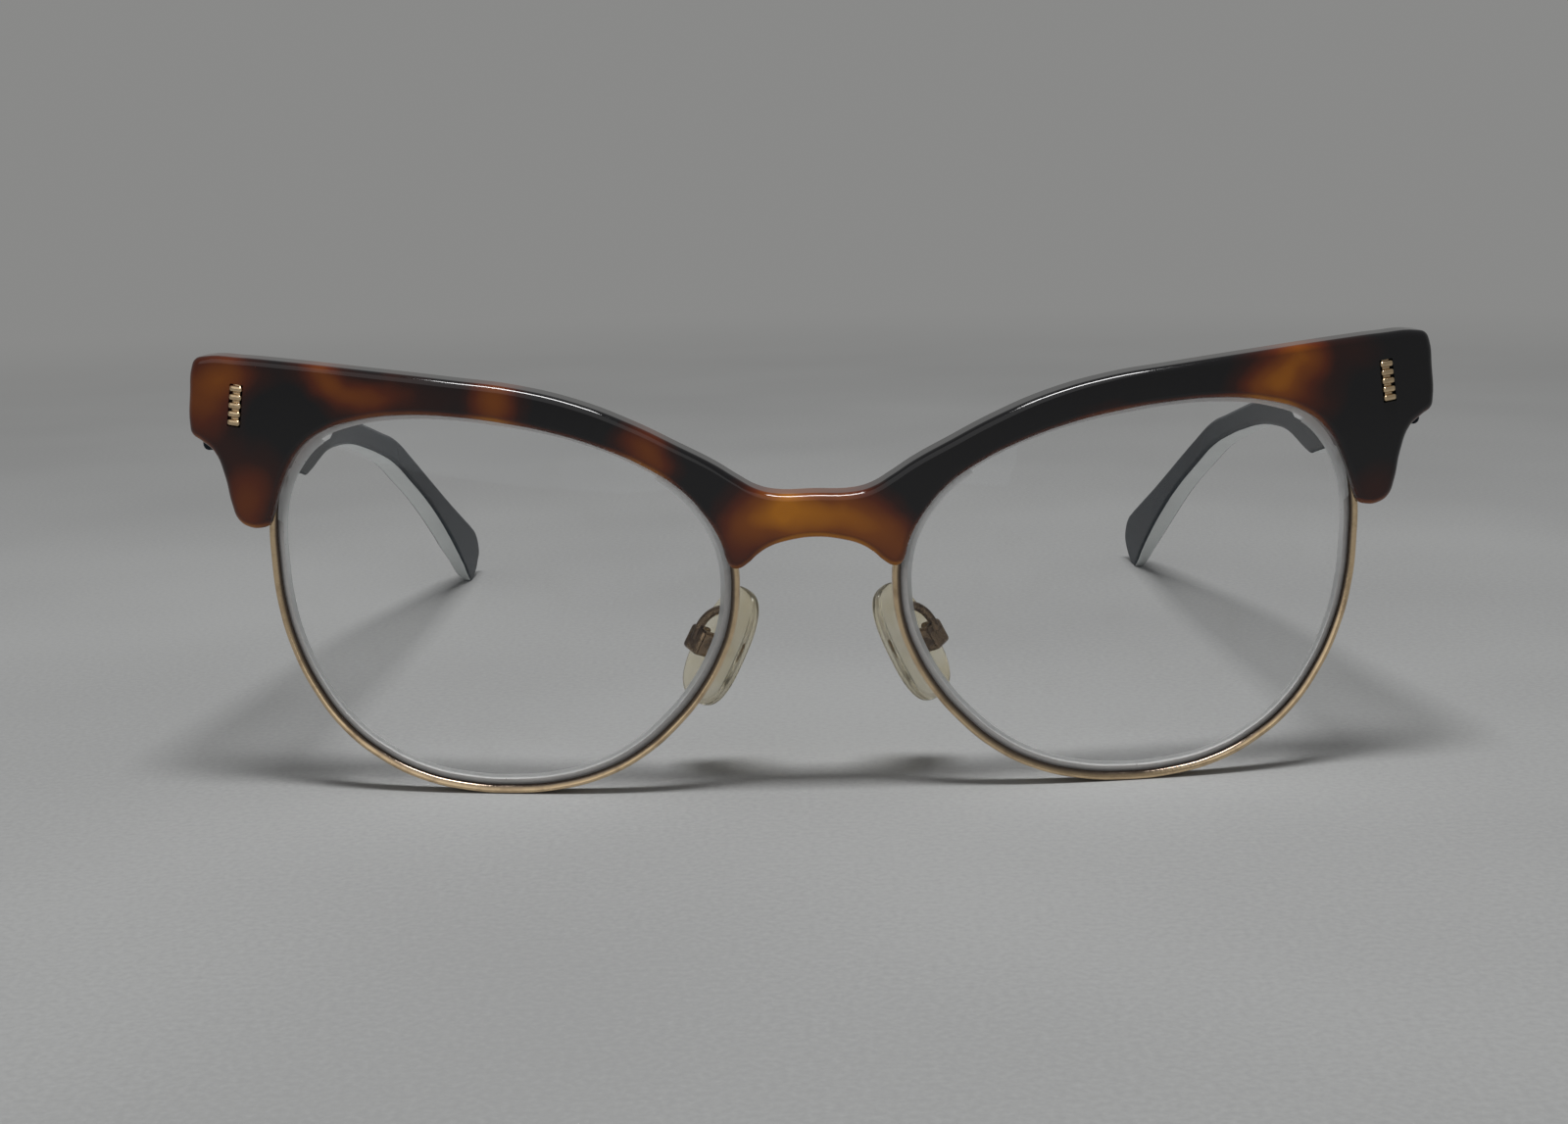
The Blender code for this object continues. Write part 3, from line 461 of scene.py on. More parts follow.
tab_front = 3.5
tab_back = 4.4
rim_ends = (Vector((11.3, 0, 31.5)), Vector((59.75, 0, 37.4)))
along_rim = (rim_ends[1] - rim_ends[0]).normalized()
above_rim = Vector((-along_rim.z, 0, along_rim.x))


def below_rim_ends(bm, lift=0.0):
    """Keeps the part of a swept ring that lies under the ends of the rim, and closes its cut ends."""
    saw(bm, rim_ends[0] + above_rim * lift, above_rim, away=True)
    bmesh.ops.recalc_face_normals(bm, faces=bm.faces)
    return bm


# The beds behind leave up to 0.3 mm round the metal, and are cut from beyond the bar's back.
seat_gap = 0.3
past_back = 6.0
rim_bed_section = ((-1.2, 1.6), (1.15, 1.6), (1.15, past_back), (-1.2, past_back))
tab_bed_length = 3.8
inlay_place = Matrix.Translation((64.8, 0, 45.0)) @ Matrix.Rotation(math.radians(-8), 4, "Y")
inlay_bed = block(low=(-0.78, -1.0, -2.42), high=(0.78, 1.1, 2.42), rounding=0.1)
bmesh.ops.transform(inlay_bed, matrix=inlay_place, verts=inlay_bed.verts)
hinge_spot = (65.36, 0, 44.84)
hinge_bed = hinge_plate(width=6.8, height=7.5, front=3.9, back=7.0)
bmesh.ops.translate(hinge_bed, vec=hinge_spot, verts=hinge_bed.verts)
beds = [below_rim_ends(sweep(lens_outline, rim_bed_section), seat_gap)]
for eye, root in tabs.values():
    beds.append(strap(eye, root, tab_radius + seat_gap, tab_bed_length, tab_front - seat_gap, past_back))
brow_points = brow_half + tuple((-x, z) for x, z in reversed(brow_half[1:-1]))
bm = plate(brow_points, brow_thickness, brow_rounding)
bm = carve(bm, *[both(bed) for bed in (*beds, inlay_bed, hinge_bed)])

# The flat bar is cut into narrow strips, without parting them, so that it can bend.
strip_width = 1.65
strips_each_side = 42
for strip in range(-strips_each_side, strips_each_side + 1):
    saw(bm, (strip * strip_width, 0, 0), (1, 0, 0))
bend(bm)

# The acetate is near-black with clouds from dark red to amber, which run through the sheet. A row gives a
# cloud's middle in X and Z, its half width and half height, and its strength.
clouds = (
    (-68.5, 46.0, 5.5, 7.0, 0.66), (-64.0, 48.5, 5.0, 3.0, 0.40), (-65.0, 32.5, 4.5, 6.0, 0.52),
    (-62.0, 37.0, 5.0, 4.5, 0.30), (-55.5, 49.5, 3.6, 3.4, 0.52), (-53.0, 47.5, 3.8, 2.6, 0.36),
    (-50.5, 45.4, 5.6, 3.0, 0.50), (-46.0, 46.0, 5.0, 3.0, 0.20), (-40.0, 45.5, 5.0, 3.5, 0.18),
    (-34.5, 45.0, 3.8, 5.0, 0.70), (-19.0, 40.3, 4.2, 3.0, 0.58), (-17.0, 38.0, 3.6, 2.2, 0.32),
    (-9.0, 30.0, 3.6, 6.0, 0.48), (-4.2, 32.8, 5.2, 5.5, 0.70), (0.5, 32.0, 6.5, 5.0, 0.46),
    (4.0, 32.8, 5.0, 4.5, 0.54), (8.5, 28.5, 4.5, 5.0, 0.66), (33.0, 43.0, 6.0, 1.6, 0.20),
    (52.5, 47.5, 5.2, 4.0, 0.58), (55.0, 48.5, 3.6, 3.0, 0.30), (50.0, 44.6, 4.8, 2.8, 0.42),
    (56.0, 43.5, 5.0, 4.0, 0.34), (60.5, 48.5, 5.5, 3.4, 0.25), (64.0, 32.5, 4.0, 4.0, 0.30),
)
cloud_fade = 1.4
cloud_drift = 0.003
mottling = 0.35
painted_underside_glow = 0.42
amber_stops = (
    (0.10, (0.0042, 0.0040, 0.0050)), (0.3, (0.026, 0.0045, 0.0022)), (0.5, (0.092, 0.0145, 0.0015)),
    (0.75, (0.20, 0.050, 0.0015)), (1.0, (0.44, 0.150, 0.002)),
)
tortoise, shader, shade = finish("tortoise_acetate")
place = shade.coordinate()
drift = shade.node("TexNoise", {"Vector": place, "Scale": 150.0, "Detail": 2.0}, output="Color")
drift = shade.vector("SUBTRACT", drift, (0.5, 0.5, 0.5))
drifted = shade.vector("ADD", place, shade.vector("MULTIPLY", drift, (cloud_drift,) * 3))
amber = shade.noise(drifted, scale=60.0).step(0.52, 0.9) * mottling
for x, z, wide, high, strength in clouds:
    offset = shade.vector("SUBTRACT", drifted, (x / 1000, 0, z / 1000))
    offset = shade.vector("MULTIPLY", offset, (1000 / wide, 0, 1000 / high))
    amber = amber + (1 - offset.length().step(0.0, cloud_fade)) * strength

# Faces underneath are painted lighter amber: a painted glow for light coming through the thin edges.
amber = amber + (-shade.coordinate("Normal").axis("Z")).step(0.05, 0.65) * painted_underside_glow
grain = shade.noise(place, scale=900.0)
shade.fill(shader, {
    "Base Color": shade.node("ValToRGB", {0: amber}, stops=amber_stops),
    "Roughness": grain * 0.05 + 0.05,
    "Specular IOR Level": 0.5,
    "Normal": shade.relief(grain, strength=0.02),
})
piece("brow_bar_polished", bm, "front", "brow_bar", "tortoise_acetate", tortoise)
bm.free()


# Lenses: clear domed plastic, ground all round to a V-shaped edge that seats in the rim and the brow bar. A
# narrow band beside the V is ground too. Where the V lies in the rim it is painted grey, as painted shade.
lens_middle = Vector((35.4, 0, 22.45))
lens_half_width = 26
lens_half_height = 21.6
lens_depth = 3.0
lens_half_thickness = 0.75
lens_bulge = 1.2
bevel_depth = 0.85
ground_band = 0.5
dome_steps = 12

# From its middle outwards a lens is clear, then ground, then painted grey for shade. The painted shade and
# the ground finish end at these heights above the line through the rim's ends.
painted_shade_top = -5.5
ground_top = 4.0


def draw_in(bm, edges, ratio, lift, finish_number, top):
    """Adds the next ring of a lens inwards. Above the top of its finish it takes the next one inwards."""
    grown = bmesh.ops.extrude_edge_only(bm, edges=edges)["geom"]
    for face in only(bmesh.types.BMFace, grown):
        height = (face.calc_center_median() - rim_ends[0]).dot(above_rim)
        face.material_index = max(0, finish_number - (height > top))
    verts = only(bmesh.types.BMVert, grown)
    bmesh.ops.scale(bm, vec=ratio, space=Matrix.Translation(-lens_middle), verts=verts)
    bmesh.ops.translate(bm, vec=(0, lift, 0), verts=verts)
    return only(bmesh.types.BMEdge, grown)


def pair(name, bm, body, node, slot, *materials, sharp=30):
    """The left and the right copy of a piece. Their names and bodies start with left_ and right_."""
    made = []
    for side in ("left_", "right_"):
        home = body if body == "front" else side + body
        right = side == "right_"
        made.append(piece(side + name, bm, home, side + node, slot, *materials, right=right, sharp=sharp))
    bm.free()
    return made


bm = solid_of(outline(lens_outline))
upright(bm)
bmesh.ops.translate(bm, vec=(0, lens_depth, 0), verts=bm.verts)
tip = bm.edges[:]
narrower = (lens_half_width - bevel_depth) / lens_half_width
lower = (lens_half_height - bevel_depth) / lens_half_height
dome_shares = [math.cos(math.pi / 2 * step / dome_steps) for step in range(3, dome_steps)]
for side in (-1, 1):
    ring = draw_in(bm, tip, (narrower, 1, lower), side * lens_half_thickness, 2, painted_shade_top)
    share = 1.0
    for number, following in enumerate((1 - ground_band / lens_half_width, *dome_shares)):
        ratio = (following / share, 1, following / share)
        lift = -lens_bulge * (share ** 2 - following ** 2)
        ring = draw_in(bm, ring, ratio, lift, 1 if number == 0 else 0, ground_top)
        share = following
    bmesh.ops.edgenet_fill(bm, edges=ring)
bmesh.ops.recalc_face_normals(bm, faces=bm.faces)
bend(bm)

# Light passes through the clear lens straight to what lies behind it, so that its shadow stays pale.
wiped_clean = (1, 1, 1, 1)
smeared = (0.96, 0.96, 0.95, 1)
clear, shader, shade = finish("clear_lens")
smear = shade.noise(shade.coordinate(), scale=220.0, detail=4.0)
shade.fill(shader, {
    "Base Color": shade.mix(smear.step(0.5, 0.9), wiped_clean, smeared),
    "Roughness": 0.0,
    "IOR": 1.5,
    "Transmission Weight": 1.0,
    "Specular IOR Level": 0.15,
    "Specular Tint": (0.30, 0.33, 0.36, 1),
})
open_way = shade.node("BsdfTransparent", {"Color": (0.98, 0.98, 0.98, 1)})
shade.show(shade.node("LightPath", output="Is Shadow Ray"), shader, open_way)

# The ground band is painted greyer low down than at the brow bar: painted shade where the gold rim shades
# it.
ground_low_painted_shade = (0.54, 0.55, 0.55, 1)
ground_high = (0.92, 0.93, 0.93, 1)
ground, shader, shade = finish("ground_lens_edge")
place = shade.coordinate()
frost = shade.noise(place, scale=1800.0)
shade.fill(shader, {
    "Base Color": shade.mix(place.axis("Z").step(0.020, 0.032), ground_low_painted_shade, ground_high),
    "Roughness": frost * 0.2 + 0.22,
    "IOR": 1.5,
    "Transmission Weight": 0.55,
    "Normal": shade.relief(frost, strength=0.2),
})

# The grey of the V is painted shade, where the V lies in the groove of the rim.
bevel_grey = (0.68, 0.67, 0.66, 1)
bevel_pale = (0.84, 0.83, 0.82, 1)
bevel, shader, shade = finish("lens_bevel_painted_shade")
frost = shade.noise(shade.coordinate(), scale=1800.0)
shade.fill(shader, {
    "Base Color": shade.mix(frost, bevel_grey, bevel_pale),
    "Roughness": frost * 0.2 + 0.35,
})
pair("lens_clear", bm, "front", "lens", "clear_lens", clear, ground, bevel)


# Lower rims: gold-coloured metal wire with a V-shaped groove for the lens. At each end a tab is brazed on,
# and a screw through it holds the rim in the back of the brow bar.
tab_length = 3.6
tab_rounding = 0.15
gold_fresh = (0.74, 0.56, 0.35, 1)
gold_worn = (0.50, 0.365, 0.225, 1)
# The last colour is a painted shade for the rims' side towards the lens.
gold_painted_shade = (0.13, 0.10, 0.08, 1)

# The wire's section, outwards and backwards from the lens outline. Its third to fifth points are the groove.
rim_section = (
    (0.04, 2.14), (-0.07, 2.27), (-0.12, 2.42), (0.38, 3.0), (-0.12, 3.75), (-0.09, 3.95), (0.0, 4.05),
    (0.12, 4.1), (0.45, 4.1), (0.66, 4.02), (0.8, 3.8), (0.85, 3.45), (0.85, 2.5), (0.81, 2.2), (0.72, 2.0),
    (0.6, 1.92), (0.46, 1.91), (0.32, 1.96), (0.18, 2.04),
)
bm = below_rim_ends(sweep(lens_outline, rim_section))
for eye, root in tabs.values():
    tab = strap(eye, root, tab_radius, tab_length, tab_front, tab_back)
    round_edges(tab, [edge for edge in tab.edges if edge.calc_face_angle() > 1.0], tab_rounding, 2)
    bm = carve(bm, tab, operation="UNION")
bend(bm)


def gild(shader, shade, painted_shade_share=0.0):
    """Gives a shader pale gold plating, worn in places and darker where painted shade is given."""
    place = shade.coordinate()
    wear = shade.noise(place, scale=420.0, detail=5.0, roughness=0.65)
    drawn = shade.noise(place, scale=2600.0, detail=2.0)
    plating = shade.mix(wear.step(0.42, 0.72), gold_fresh, gold_worn)
    shade.fill(shader, {
        "Base Color": shade.mix(painted_shade_share, plating, gold_painted_shade),
        "Roughness": wear.step(0.35, 0.75) * 0.14 + 0.10,
        "Metallic": 1.0,
        "Normal": shade.relief(drawn + wear * 0.5, strength=0.06),
    })


# The rims are painted darker on the side that leans towards the lens: painted shade of the groove there.
rim_gold, shader, shade = finish("rim_gold")
place = shade.coordinate()
normal = shade.coordinate("Normal")
across = place.axis("X")
outwards = across - across.sign() * (lens_middle.x / 1000)
upwards = place.axis("Z") - lens_middle.z / 1000
lean = outwards * normal.axis("X") + upwards * normal.axis("Z")
gild(shader, shade, (-lean).step(0.007, 0.017))
pair("rim_wire", bm, "front", "rim", "pale_gold", rim_gold)


# Rim screws: small gold-coloured cheese-head screws with one slot. Each is driven from behind through the
# tab of a rim into the brow bar, and clamps the rim there. With the two of a side out, the lens comes free.
rim_screw_seat = tab_back + seat_gap
slot_turns = {"nasal": 0.7, "temporal": -0.3}


def screw(radius, head_radius, head_height, length, slot=0.3):
    """A slotted screw along Z, its head's underside at the origin and its shank below."""
    bm = bmesh.new()
    profile = (
        (0, -length), (radius * 0.75, -length), (radius, -length + radius * 0.4), (radius, 0),
        (head_radius * 0.92, 0), (head_radius, head_height * 0.12), (head_radius, head_height * 0.62),
        (head_radius * 0.88, head_height * 0.88), (head_radius * 0.6, head_height), (0, head_height),
    )
    verts = [bm.verts.new((r, 0, z)) for r, z in profile]
    edges = [bm.edges.new(ends) for ends in zip(verts, verts[1:])]
    bmesh.ops.spin(
        bm, geom=verts + edges, cent=(0, 0, 0), axis=(0, 0, 1), angle=math.tau, steps=28, use_merge=True,
    )
    bmesh.ops.remove_doubles(bm, verts=bm.verts, dist=0.0001)
    bmesh.ops.recalc_face_normals(bm, faces=bm.faces)
    reach = head_radius * 1.2
    slot_cutter = block(low=(-reach, -slot / 2, head_height * 0.45), high=(reach, slot / 2, head_height * 2))
    return carve(bm, slot_cutter)


gold, shader, shade = finish("pale_gold")
gild(shader, shade)
for name, (eye, _) in tabs.items():
    bm = screw(radius=0.6, head_radius=1.2, head_height=0.6, length=2.8)
    stand = Matrix.Translation((eye[0], rim_screw_seat, eye[1])) @ Matrix.Rotation(math.radians(-90), 4, "X")
    bmesh.ops.transform(bm, matrix=stand @ Matrix.Rotation(slot_turns[name], 4, "Z"), verts=bm.verts)
    bend(bm)
    pair(f"rim_screw_{name}_slotted", bm, "front", f"rim_screw_{name}", "pale_gold", gold)


# Inlays: five polished bars across a slim plate, of gold-coloured metal. Each is pressed into a bed in the
# front of an end piece, and only its bars stand out of the acetate.
inlay_bars = 5
bar_pitch = 0.96
bar_half_width = 0.75
bar_half_height = 0.35
bar_proud = 0.35
bar_back = 0.7
bar_rounding = 0.27
bm = block(low=(-0.45, 0.3, -2.4), high=(0.45, 0.8, 2.4), rounding=0.08)
for bar in range(inlay_bars):
    level = (bar - inlay_bars // 2) * bar_pitch
    low = (-bar_half_width, -bar_proud, level - bar_half_height)
    high = (bar_half_width, bar_back, level + bar_half_height)
    bm = carve(bm, block(low, high, bar_rounding, segments=4), operation="UNION")
bmesh.ops.transform(bm, matrix=inlay_place, verts=bm.verts)
bend(bm)
pair("inlay_bars", bm, "front", "inlay", "pale_gold", gold)


# Hinges: five-barrel hinges of dull gold-coloured metal. The front half is a plate with three barrels, let
# into the back of the end piece, and the temple half a plate with two, let into the temple's inner side.
pivot = Vector((64.335, -55.551, 44.84))
end_piece_turn = 12.38
temple_turn = 4.1
on_end_piece = Matrix.Translation(pivot) @ Matrix.Rotation(math.radians(end_piece_turn), 4, "Z")
on_temple = Matrix.Translation(pivot) @ Matrix.Rotation(math.radians(temple_turn), 4, "Z")
barrel_radius = 1.4
barrel_bore = 0.9
barrel_height = 1.16
barrel_pitch = 1.46
front_leaf = ((-1.4, -4.8), (0.6, -4.8), (0.6, -1.26), (0, 0), (-1.4, 0))
temple_leaf = ((-0.9, 1.07), (0, 0), (1.4, 0), (1.4, 1.4), (2.25, 2.45), (2.25, 4.15), (1.55, 4.15))
hinge_gold = (0.27, 0.19, 0.12, 1)
hinge_tarnish = (0.10, 0.07, 0.05, 1)


def rod(radius, length, segments, level=0.0):
    """A round rod along Z with its middle at a level."""
    bm = bmesh.new()
    bmesh.ops.create_cone(
        bm, cap_ends=True, segments=segments, radius1=radius, radius2=radius, depth=length,
        matrix=Matrix.Translation((0, 0, level)),
    )
    return bm


def barrel(number, leaf):
    """One barrel of a hinge round Z with the leaf that runs from it to its plate, bored for the screw."""
    level = number * barrel_pitch
    bm = bmesh.new()
    bm.faces.new([bm.verts.new((x, y, level - barrel_height / 2)) for x, y in leaf])
    raise_face(bm, barrel_height)
    bmesh.ops.recalc_face_normals(bm, faces=bm.faces)
    bm = carve(bm, rod(barrel_radius, barrel_height, segments=32, level=level), operation="UNION")
    return carve(bm, rod(barrel_bore, length=30, segments=24))


def soften(bm):
    """Breaks the sharp edges of a hinge half."""
    bmesh.ops.dissolve_limit(bm, angle_limit=0.01, verts=bm.verts, edges=bm.edges)
    edges = [edge for edge in bm.edges if edge.is_manifold and edge.calc_face_angle() > 0.9]
    round_edges(bm, edges, radius=0.1, segments=2, clamp_overlap=True)


half = hinge_plate(width=6.4, height=7.0, front=-5.2, back=-4.4)
for number in (-2, 0, 2):
    half = carve(half, barrel(number, front_leaf), operation="UNION")
soften(half)
bmesh.ops.transform(half, matrix=on_end_piece, verts=half.verts)
dull_gold, shader, shade = finish("dull_gold")
tarnish = shade.noise(shade.coordinate(), scale=520.0, detail=5.0, roughness=0.7)
shade.fill(shader, {
    "Base Color": shade.mix(tarnish.step(0.40, 0.66), hinge_gold, hinge_tarnish),
    "Roughness": tarnish.step(0.35, 0.75) * 0.22 + 0.18,
    "Metallic": 1.0,
    "Normal": shade.relief(tarnish, strength=0.10),
})
pair("front_hinge_half", half, "front", "front_hinge", "dull_gold", dull_gold)

# A plate on the temple is drawn with Y along it and Z up from the pivot, and laid on its inner side.
temple_inner = 1.85
on_inner_side = Matrix(((0, 1, 0, temple_inner), (1, 0, 0, 0), (0, 0, 1, 0), (0, 0, 0, 1)))
hinge_outline = (
    (2.15, -3.45), (9.75, -5.38), (11.2, -5.35), (12.26, -4.56), (12.65, -3.21), (12.26, -1.66),
    (11.2, -0.33), (9.75, 0.42), (2.15, 2.35),
)
hinge_corners = (0, 1, 7, 8)
half = plate(hinge_outline, thickness=0.8, rounding=0.1, corners=hinge_corners)
bmesh.ops.transform(half, matrix=on_inner_side, verts=half.verts)
bmesh.ops.recalc_face_normals(half, faces=half.faces)
for number in (-1, 1):
    half = carve(half, barrel(number, temple_leaf), operation="UNION")
bmesh.ops.transform(half, matrix=on_temple, verts=half.verts)
pair("temple_hinge_half", half, "temple_arm", "temple_hinge", "dull_gold", dull_gold)


# Hinge screws: turned steel screws with a slotted head, dropped in from above through all five barrels.
# They hold the two halves of a hinge together, and the temple folds on them.
hinge_screw_seat = 3.8
steel_dark = (0.50, 0.50, 0.51, 1)
steel_bright = (0.62, 0.62, 0.63, 1)
bm = screw(radius=0.6, head_radius=1.2, head_height=0.6, length=7.3)
bmesh.ops.translate(bm, vec=pivot + Vector((0, 0, hinge_screw_seat)), verts=bm.verts)
steel, shader, shade = finish("steel")
turned = shade.noise(shade.coordinate(), scale=1500.0)
shade.fill(shader, {
    "Base Color": shade.mix(turned, steel_dark, steel_bright),
    "Roughness": turned * 0.15 + 0.22,
    "Metallic": 1.0,
    "Normal": shade.relief(turned, strength=0.08),
})
pair("hinge_screw_slotted", bm, "front", "hinge_screw", "steel", steel)


# Temples: acetate laminate with a dark blue-black skin on both sides and a pale grey middle that shows
# along their edges. Each is deep at the hinge, steps in at a square corner, and widens to a drooping tip.
temple_length = 138.6
temple_thickness = 4.0
temple_tip_thickness = 3.2
temple_rounding = 0.7
skin = 0.45
slope = math.radians(14.24)
temple_start = -3.95
temple_top = 5.0
taper_start = 0.3
tip_start = 0.82
tip_run = 0.15
tip_thinning = 0.92
skin_black = (0.010, 0.014, 0.021, 1)
skin_blue = (0.018, 0.026, 0.034, 1)
# The next grey is a painted sheen, for the inner sides near the hinges.
painted_sheen_grey = (0.115, 0.119, 0.123, 1)
middle_grey = (0.72, 0.75, 0.74, 1)
middle_pale = (0.84, 0.87, 0.86, 1)

# The outline along the temple and up, from its lower front corner round the tip to its upper one.
temple_outline = (
    (0, -10.1), (16.6, -10.0), (31.5, -9.9), (33.3, -9.85), (34.2, -9.5), (35.8, -8.8), (38.8, -7.3),
    (42.3, -5.8), (47.8, -4.4), (54.7, -3.35), (62.4, -2.95), (70.7, -2.9), (79.0, -3.3), (89.4, -5.0),
    (100.5, -7.1), (110.9, -9.8), (120.6, -12.9), (127.5, -15.7), (131.2, -17.4), (132.6, -17.75),
    (134.2, -17.4), (135.7, -16.4), (137.7, -14.3), (138.6, -12.6), (138.5, -11.9), (137.6, -10.5),
    (135.6, -9.3), (132.6, -8.5), (127.5, -7.6), (120.6, -6.5), (110.9, -4.9), (100.5, -3.1),
    (89.4, -1.2), (79.0, 0.35), (70.7, 0.4), (54.7, 0.3), (32.6, 0.1), (16.6, 0), (0, 0),
)
temple_corners = (0, 1, len(temple_outline) - 2, len(temple_outline) - 1)
bm = plate(temple_outline, temple_thickness, temple_rounding, temple_corners)
for level in (skin, temple_thickness - skin):
    saw(bm, (0, level, 0), (0, 1, 0))
for face in bm.faces:
    in_middle = skin < face.calc_center_median().y < temple_thickness - skin
    face.material_index = 1 if in_middle else 0

# The blank is cut across without parting it, most finely at the tip. It is thinned towards the tip, which is
# rounded off.
for thousandth in (*range(300, 820, 20), *range(820, 1000, 6)):
    saw(bm, (thousandth / 1000 * temple_length, 0, 0), (1, 0, 0))
for vert in bm.verts:
    share = vert.co.x / temple_length
    taper = max(0.0, share - taper_start) / (1 - taper_start)
    vert.co.y *= 1 - taper * (1 - temple_tip_thickness / temple_thickness)
    rounding = min(1.0, max(0.0, share - tip_start) / tip_run)
    vert.co.y *= math.sqrt(1 - tip_thinning * rounding ** 2)
droop = Matrix.Translation((0, temple_start, temple_top)) @ Matrix.Rotation(-slope, 4, "X")
bmesh.ops.transform(bm, matrix=droop @ on_inner_side, verts=bm.verts)
bmesh.ops.recalc_face_normals(bm, faces=bm.faces)

# Its front end is mitred to meet the end piece, and a bed is cut for the hinge plate, larger all round.
mitre = Matrix.Rotation(math.radians(end_piece_turn - temple_turn), 3, "Z") @ Vector((0, -1, 0))
saw(bm, Vector((temple_inner, temple_start, 0)) - mitre * seat_gap, mitre, away=True)
middle_along, middle_up = 5, -1.5
bed_outline = tuple(
    (along + math.copysign(seat_gap, along - middle_along), up + math.copysign(seat_gap, up - middle_up))
    for along, up in hinge_outline
)
bed = plate(bed_outline, thickness=2.1, rounding=0.02, corners=hinge_corners)
bmesh.ops.transform(bed, matrix=Matrix.Translation((-1.0, 0, 0)) @ on_inner_side, verts=bed.verts)
bmesh.ops.recalc_face_normals(bed, faces=bed.faces)
bm = carve(bm, bed)
bmesh.ops.transform(bm, matrix=on_temple, verts=bm.verts)

# The inner sides are painted greyer towards the hinges: a painted sheen where they are seen at a grazing
# angle.
dark, shader, shade = finish("dark_acetate")
place = shade.coordinate()
inner = (-(place.axis("X").sign() * shade.coordinate("Normal").axis("X"))).step(0.5, 0.9)
painted_sheen = inner * (1 - place.axis("Y").step(-0.03, 0.04))
cloudy = shade.noise(place, scale=70.0).step(0.3, 0.7)
grain = shade.noise(place, scale=900.0)
shade.fill(shader, {
    "Base Color": shade.mix(painted_sheen, shade.mix(cloudy, skin_black, skin_blue), painted_sheen_grey),
    "Roughness": grain * 0.08 + 0.20,
    "Specular IOR Level": 0.05,
    "Normal": shade.relief(grain, strength=0.02),
})
pale, shader, shade = finish("pale_acetate")
cloudy = shade.noise(shade.coordinate(), scale=120.0)
shade.fill(shader, {
    "Base Color": shade.mix(cloudy, middle_grey, middle_pale),
    "Roughness": cloudy * 0.1 + 0.2,
})
pair("temple_laminate", bm, "temple_arm", "temple", "dark_acetate", dark, pale)


# Core wires: steel wire shot into the heated acetate of each temple from its hinge end, so that the temple
# can be bent to fit. They stay as the CAD has them.
for side in ("left_", "right_"):
    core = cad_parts[side + "temple_core"]
    core.data.materials.clear()
    core.data.materials.append(steel)


# Nose pads: clear soft silicone, rounded like a drop and a little yellowed. Each is moulded round a tongue
# that its screw passes through, and it rocks on that screw.
pad_length = 14.5
pad_width = 9.2
pad_half_thickness = 0.9
pad_axis_depth = 2.4
pad_narrowing = 0.16
pad_squareness = 2.7
edge_fullness = 1.6
face_flatness = 0.8
splay = math.radians(27)
pad_turn = math.radians(38)
pad_pivot = Vector((12.685, -63.108, 16.397))
silicone_clear = (0.92, 0.87, 0.72, 1)
silicone_yellowed = (0.80, 0.71, 0.48, 1)
side_way = Vector((math.cos(splay), 0, math.sin(splay)))
pad_down = Vector((math.sin(splay), 0, -math.cos(splay)))
pad_across = Vector((0, math.cos(pad_turn), 0)) + side_way * math.sin(pad_turn)
pad_out = Vector((0, math.sin(pad_turn), 0)) - side_way * math.cos(pad_turn)
on_pad = Matrix.Translation(pad_pivot) @ Matrix((pad_across, pad_down, pad_out)).transposed().to_4x4()

# A ball is drawn out to a squarish drop, narrower at its top, and pressed nearly flat.
bm = bmesh.new()
bmesh.ops.create_uvsphere(bm, u_segments=64, v_segments=32, radius=1.0)
for vert in bm.verts:
    ring = math.hypot(vert.co.x, vert.co.y)
    if ring > 0.0001:
        cosine, sine = vert.co.x / ring, vert.co.y / ring
        swell = (abs(cosine) ** pad_squareness + abs(sine) ** pad_squareness) ** (-1 / pad_squareness)
        spread = 1 - (1 - min(ring, 1.0)) ** edge_fullness
        down = sine * swell * spread
        vert.co.x = cosine * swell * spread * (1 + pad_narrowing * (down - 1) / 2) * pad_width / 2
        vert.co.y = down * pad_length / 2
    flat = math.copysign(abs(vert.co.z) ** face_flatness, vert.co.z)
    vert.co.z = pad_axis_depth + flat * pad_half_thickness
tongue = block(low=(-0.5, -1.15, -1.15), high=(0.5, 1.15, 2.1), rounding=0.25, segments=3)
bm = carve(bm, tongue, operation="UNION")
bmesh.ops.transform(bm, matrix=on_pad, verts=bm.verts)
silicone, shader, shade = finish("clear_silicone")
yellowing = shade.noise(shade.coordinate(), scale=160.0)
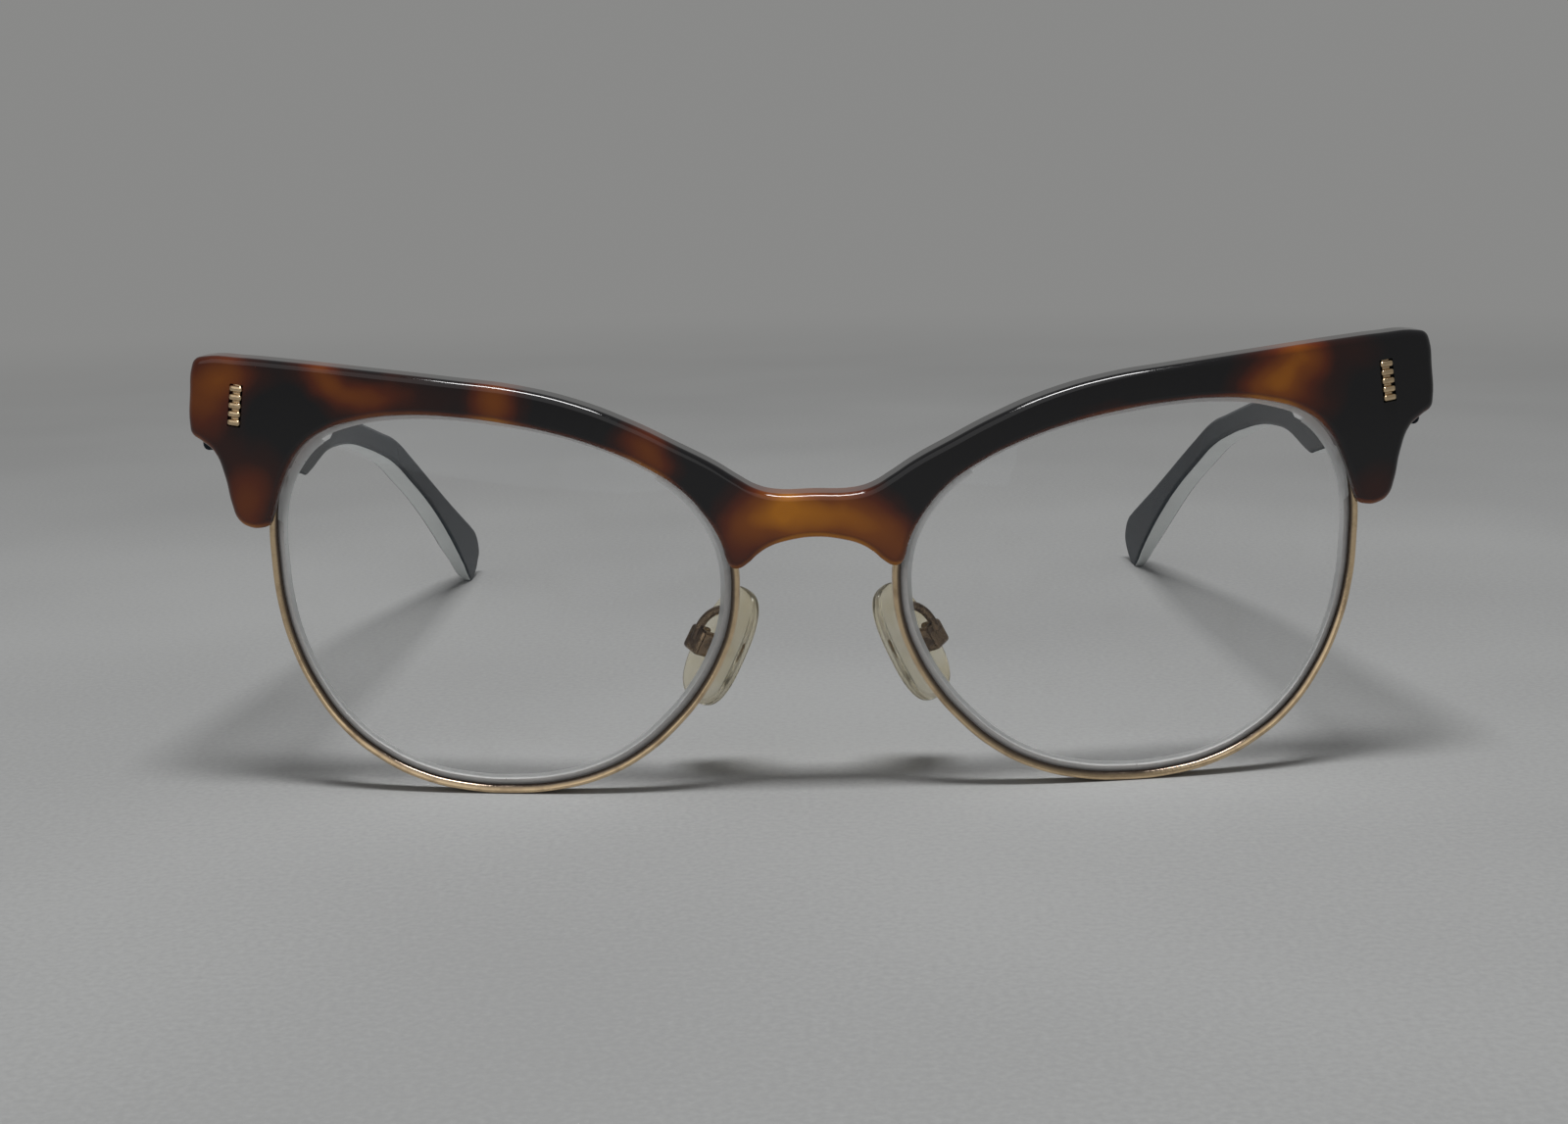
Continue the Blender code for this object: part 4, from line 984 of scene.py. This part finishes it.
shade.fill(shader, {
    "Base Color": shade.mix(yellowing.step(0.35, 0.7), silicone_clear, silicone_yellowed),
    "Roughness": yellowing * 0.08 + 0.03,
    "IOR": 1.41,
    "Transmission Weight": 0.95,
    "Normal": shade.relief(yellowing, strength=0.02, depth=0.0003),
})
for pad in pair("pad_silicone", bm, "pad", "nose_pad", "clear_silicone", silicone, sharp=60):
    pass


# Pad arms: a bent wire of dull gold-coloured metal, brazed to the back of the rim. It ends in a small open
# box that takes the pad's tongue.
arm_radius = 0.5
arm_path = (
    (9.7, -67.4, 20.4), (10.5, -65.9, 20.7), (11.8, -64.7, 20.2), (13.1, -64.1, 18.9), (13.95, -64.2, 17.05),
)
curve = bpy.data.curves.new("arm", "CURVE")
curve.dimensions = "3D"
curve.resolution_u = 10
curve.bevel_depth = arm_radius
curve.bevel_resolution = 5
curve.use_fill_caps = True
spline = curve.splines.new("BEZIER")
spline.bezier_points.add(len(arm_path) - 1)
for knot, point in zip(spline.bezier_points, arm_path):
    knot.co = point
    knot.handle_left_type = knot.handle_right_type = "AUTO"
wire = solid_of(curve)
bmesh.ops.recalc_face_normals(wire, faces=wire.faces)
box = block(low=(-1.4, -1.5, -2.1), high=(1.4, 1.5, 0.6), rounding=0.5, segments=4)
box = carve(box, block(low=(-0.8, -1.6, -1.5), high=(0.8, 1.6, 1.5)))
bmesh.ops.transform(box, matrix=on_pad, verts=box.verts)
bm = carve(box, wire, operation="UNION")
pair("pad_arm_wire", bm, "front", "pad_arm", "dull_gold", dull_gold)


# Pad screws: tiny gold-coloured screws with a slotted head. Each crosses the box of its arm and the pad's
# tongue in it, and the pad rocks on it.
pad_screw_seat = 1.7
bm = screw(radius=0.45, head_radius=0.9, head_height=0.3, length=3.2, slot=0.2)
crosswise = on_pad @ Matrix.Translation((pad_screw_seat, 0, 0)) @ Matrix.Rotation(math.radians(90), 4, "Y")
bmesh.ops.transform(bm, matrix=crosswise, verts=bm.verts)
pair("pad_screw_slotted", bm, "front", "pad_screw", "pale_gold", gold)
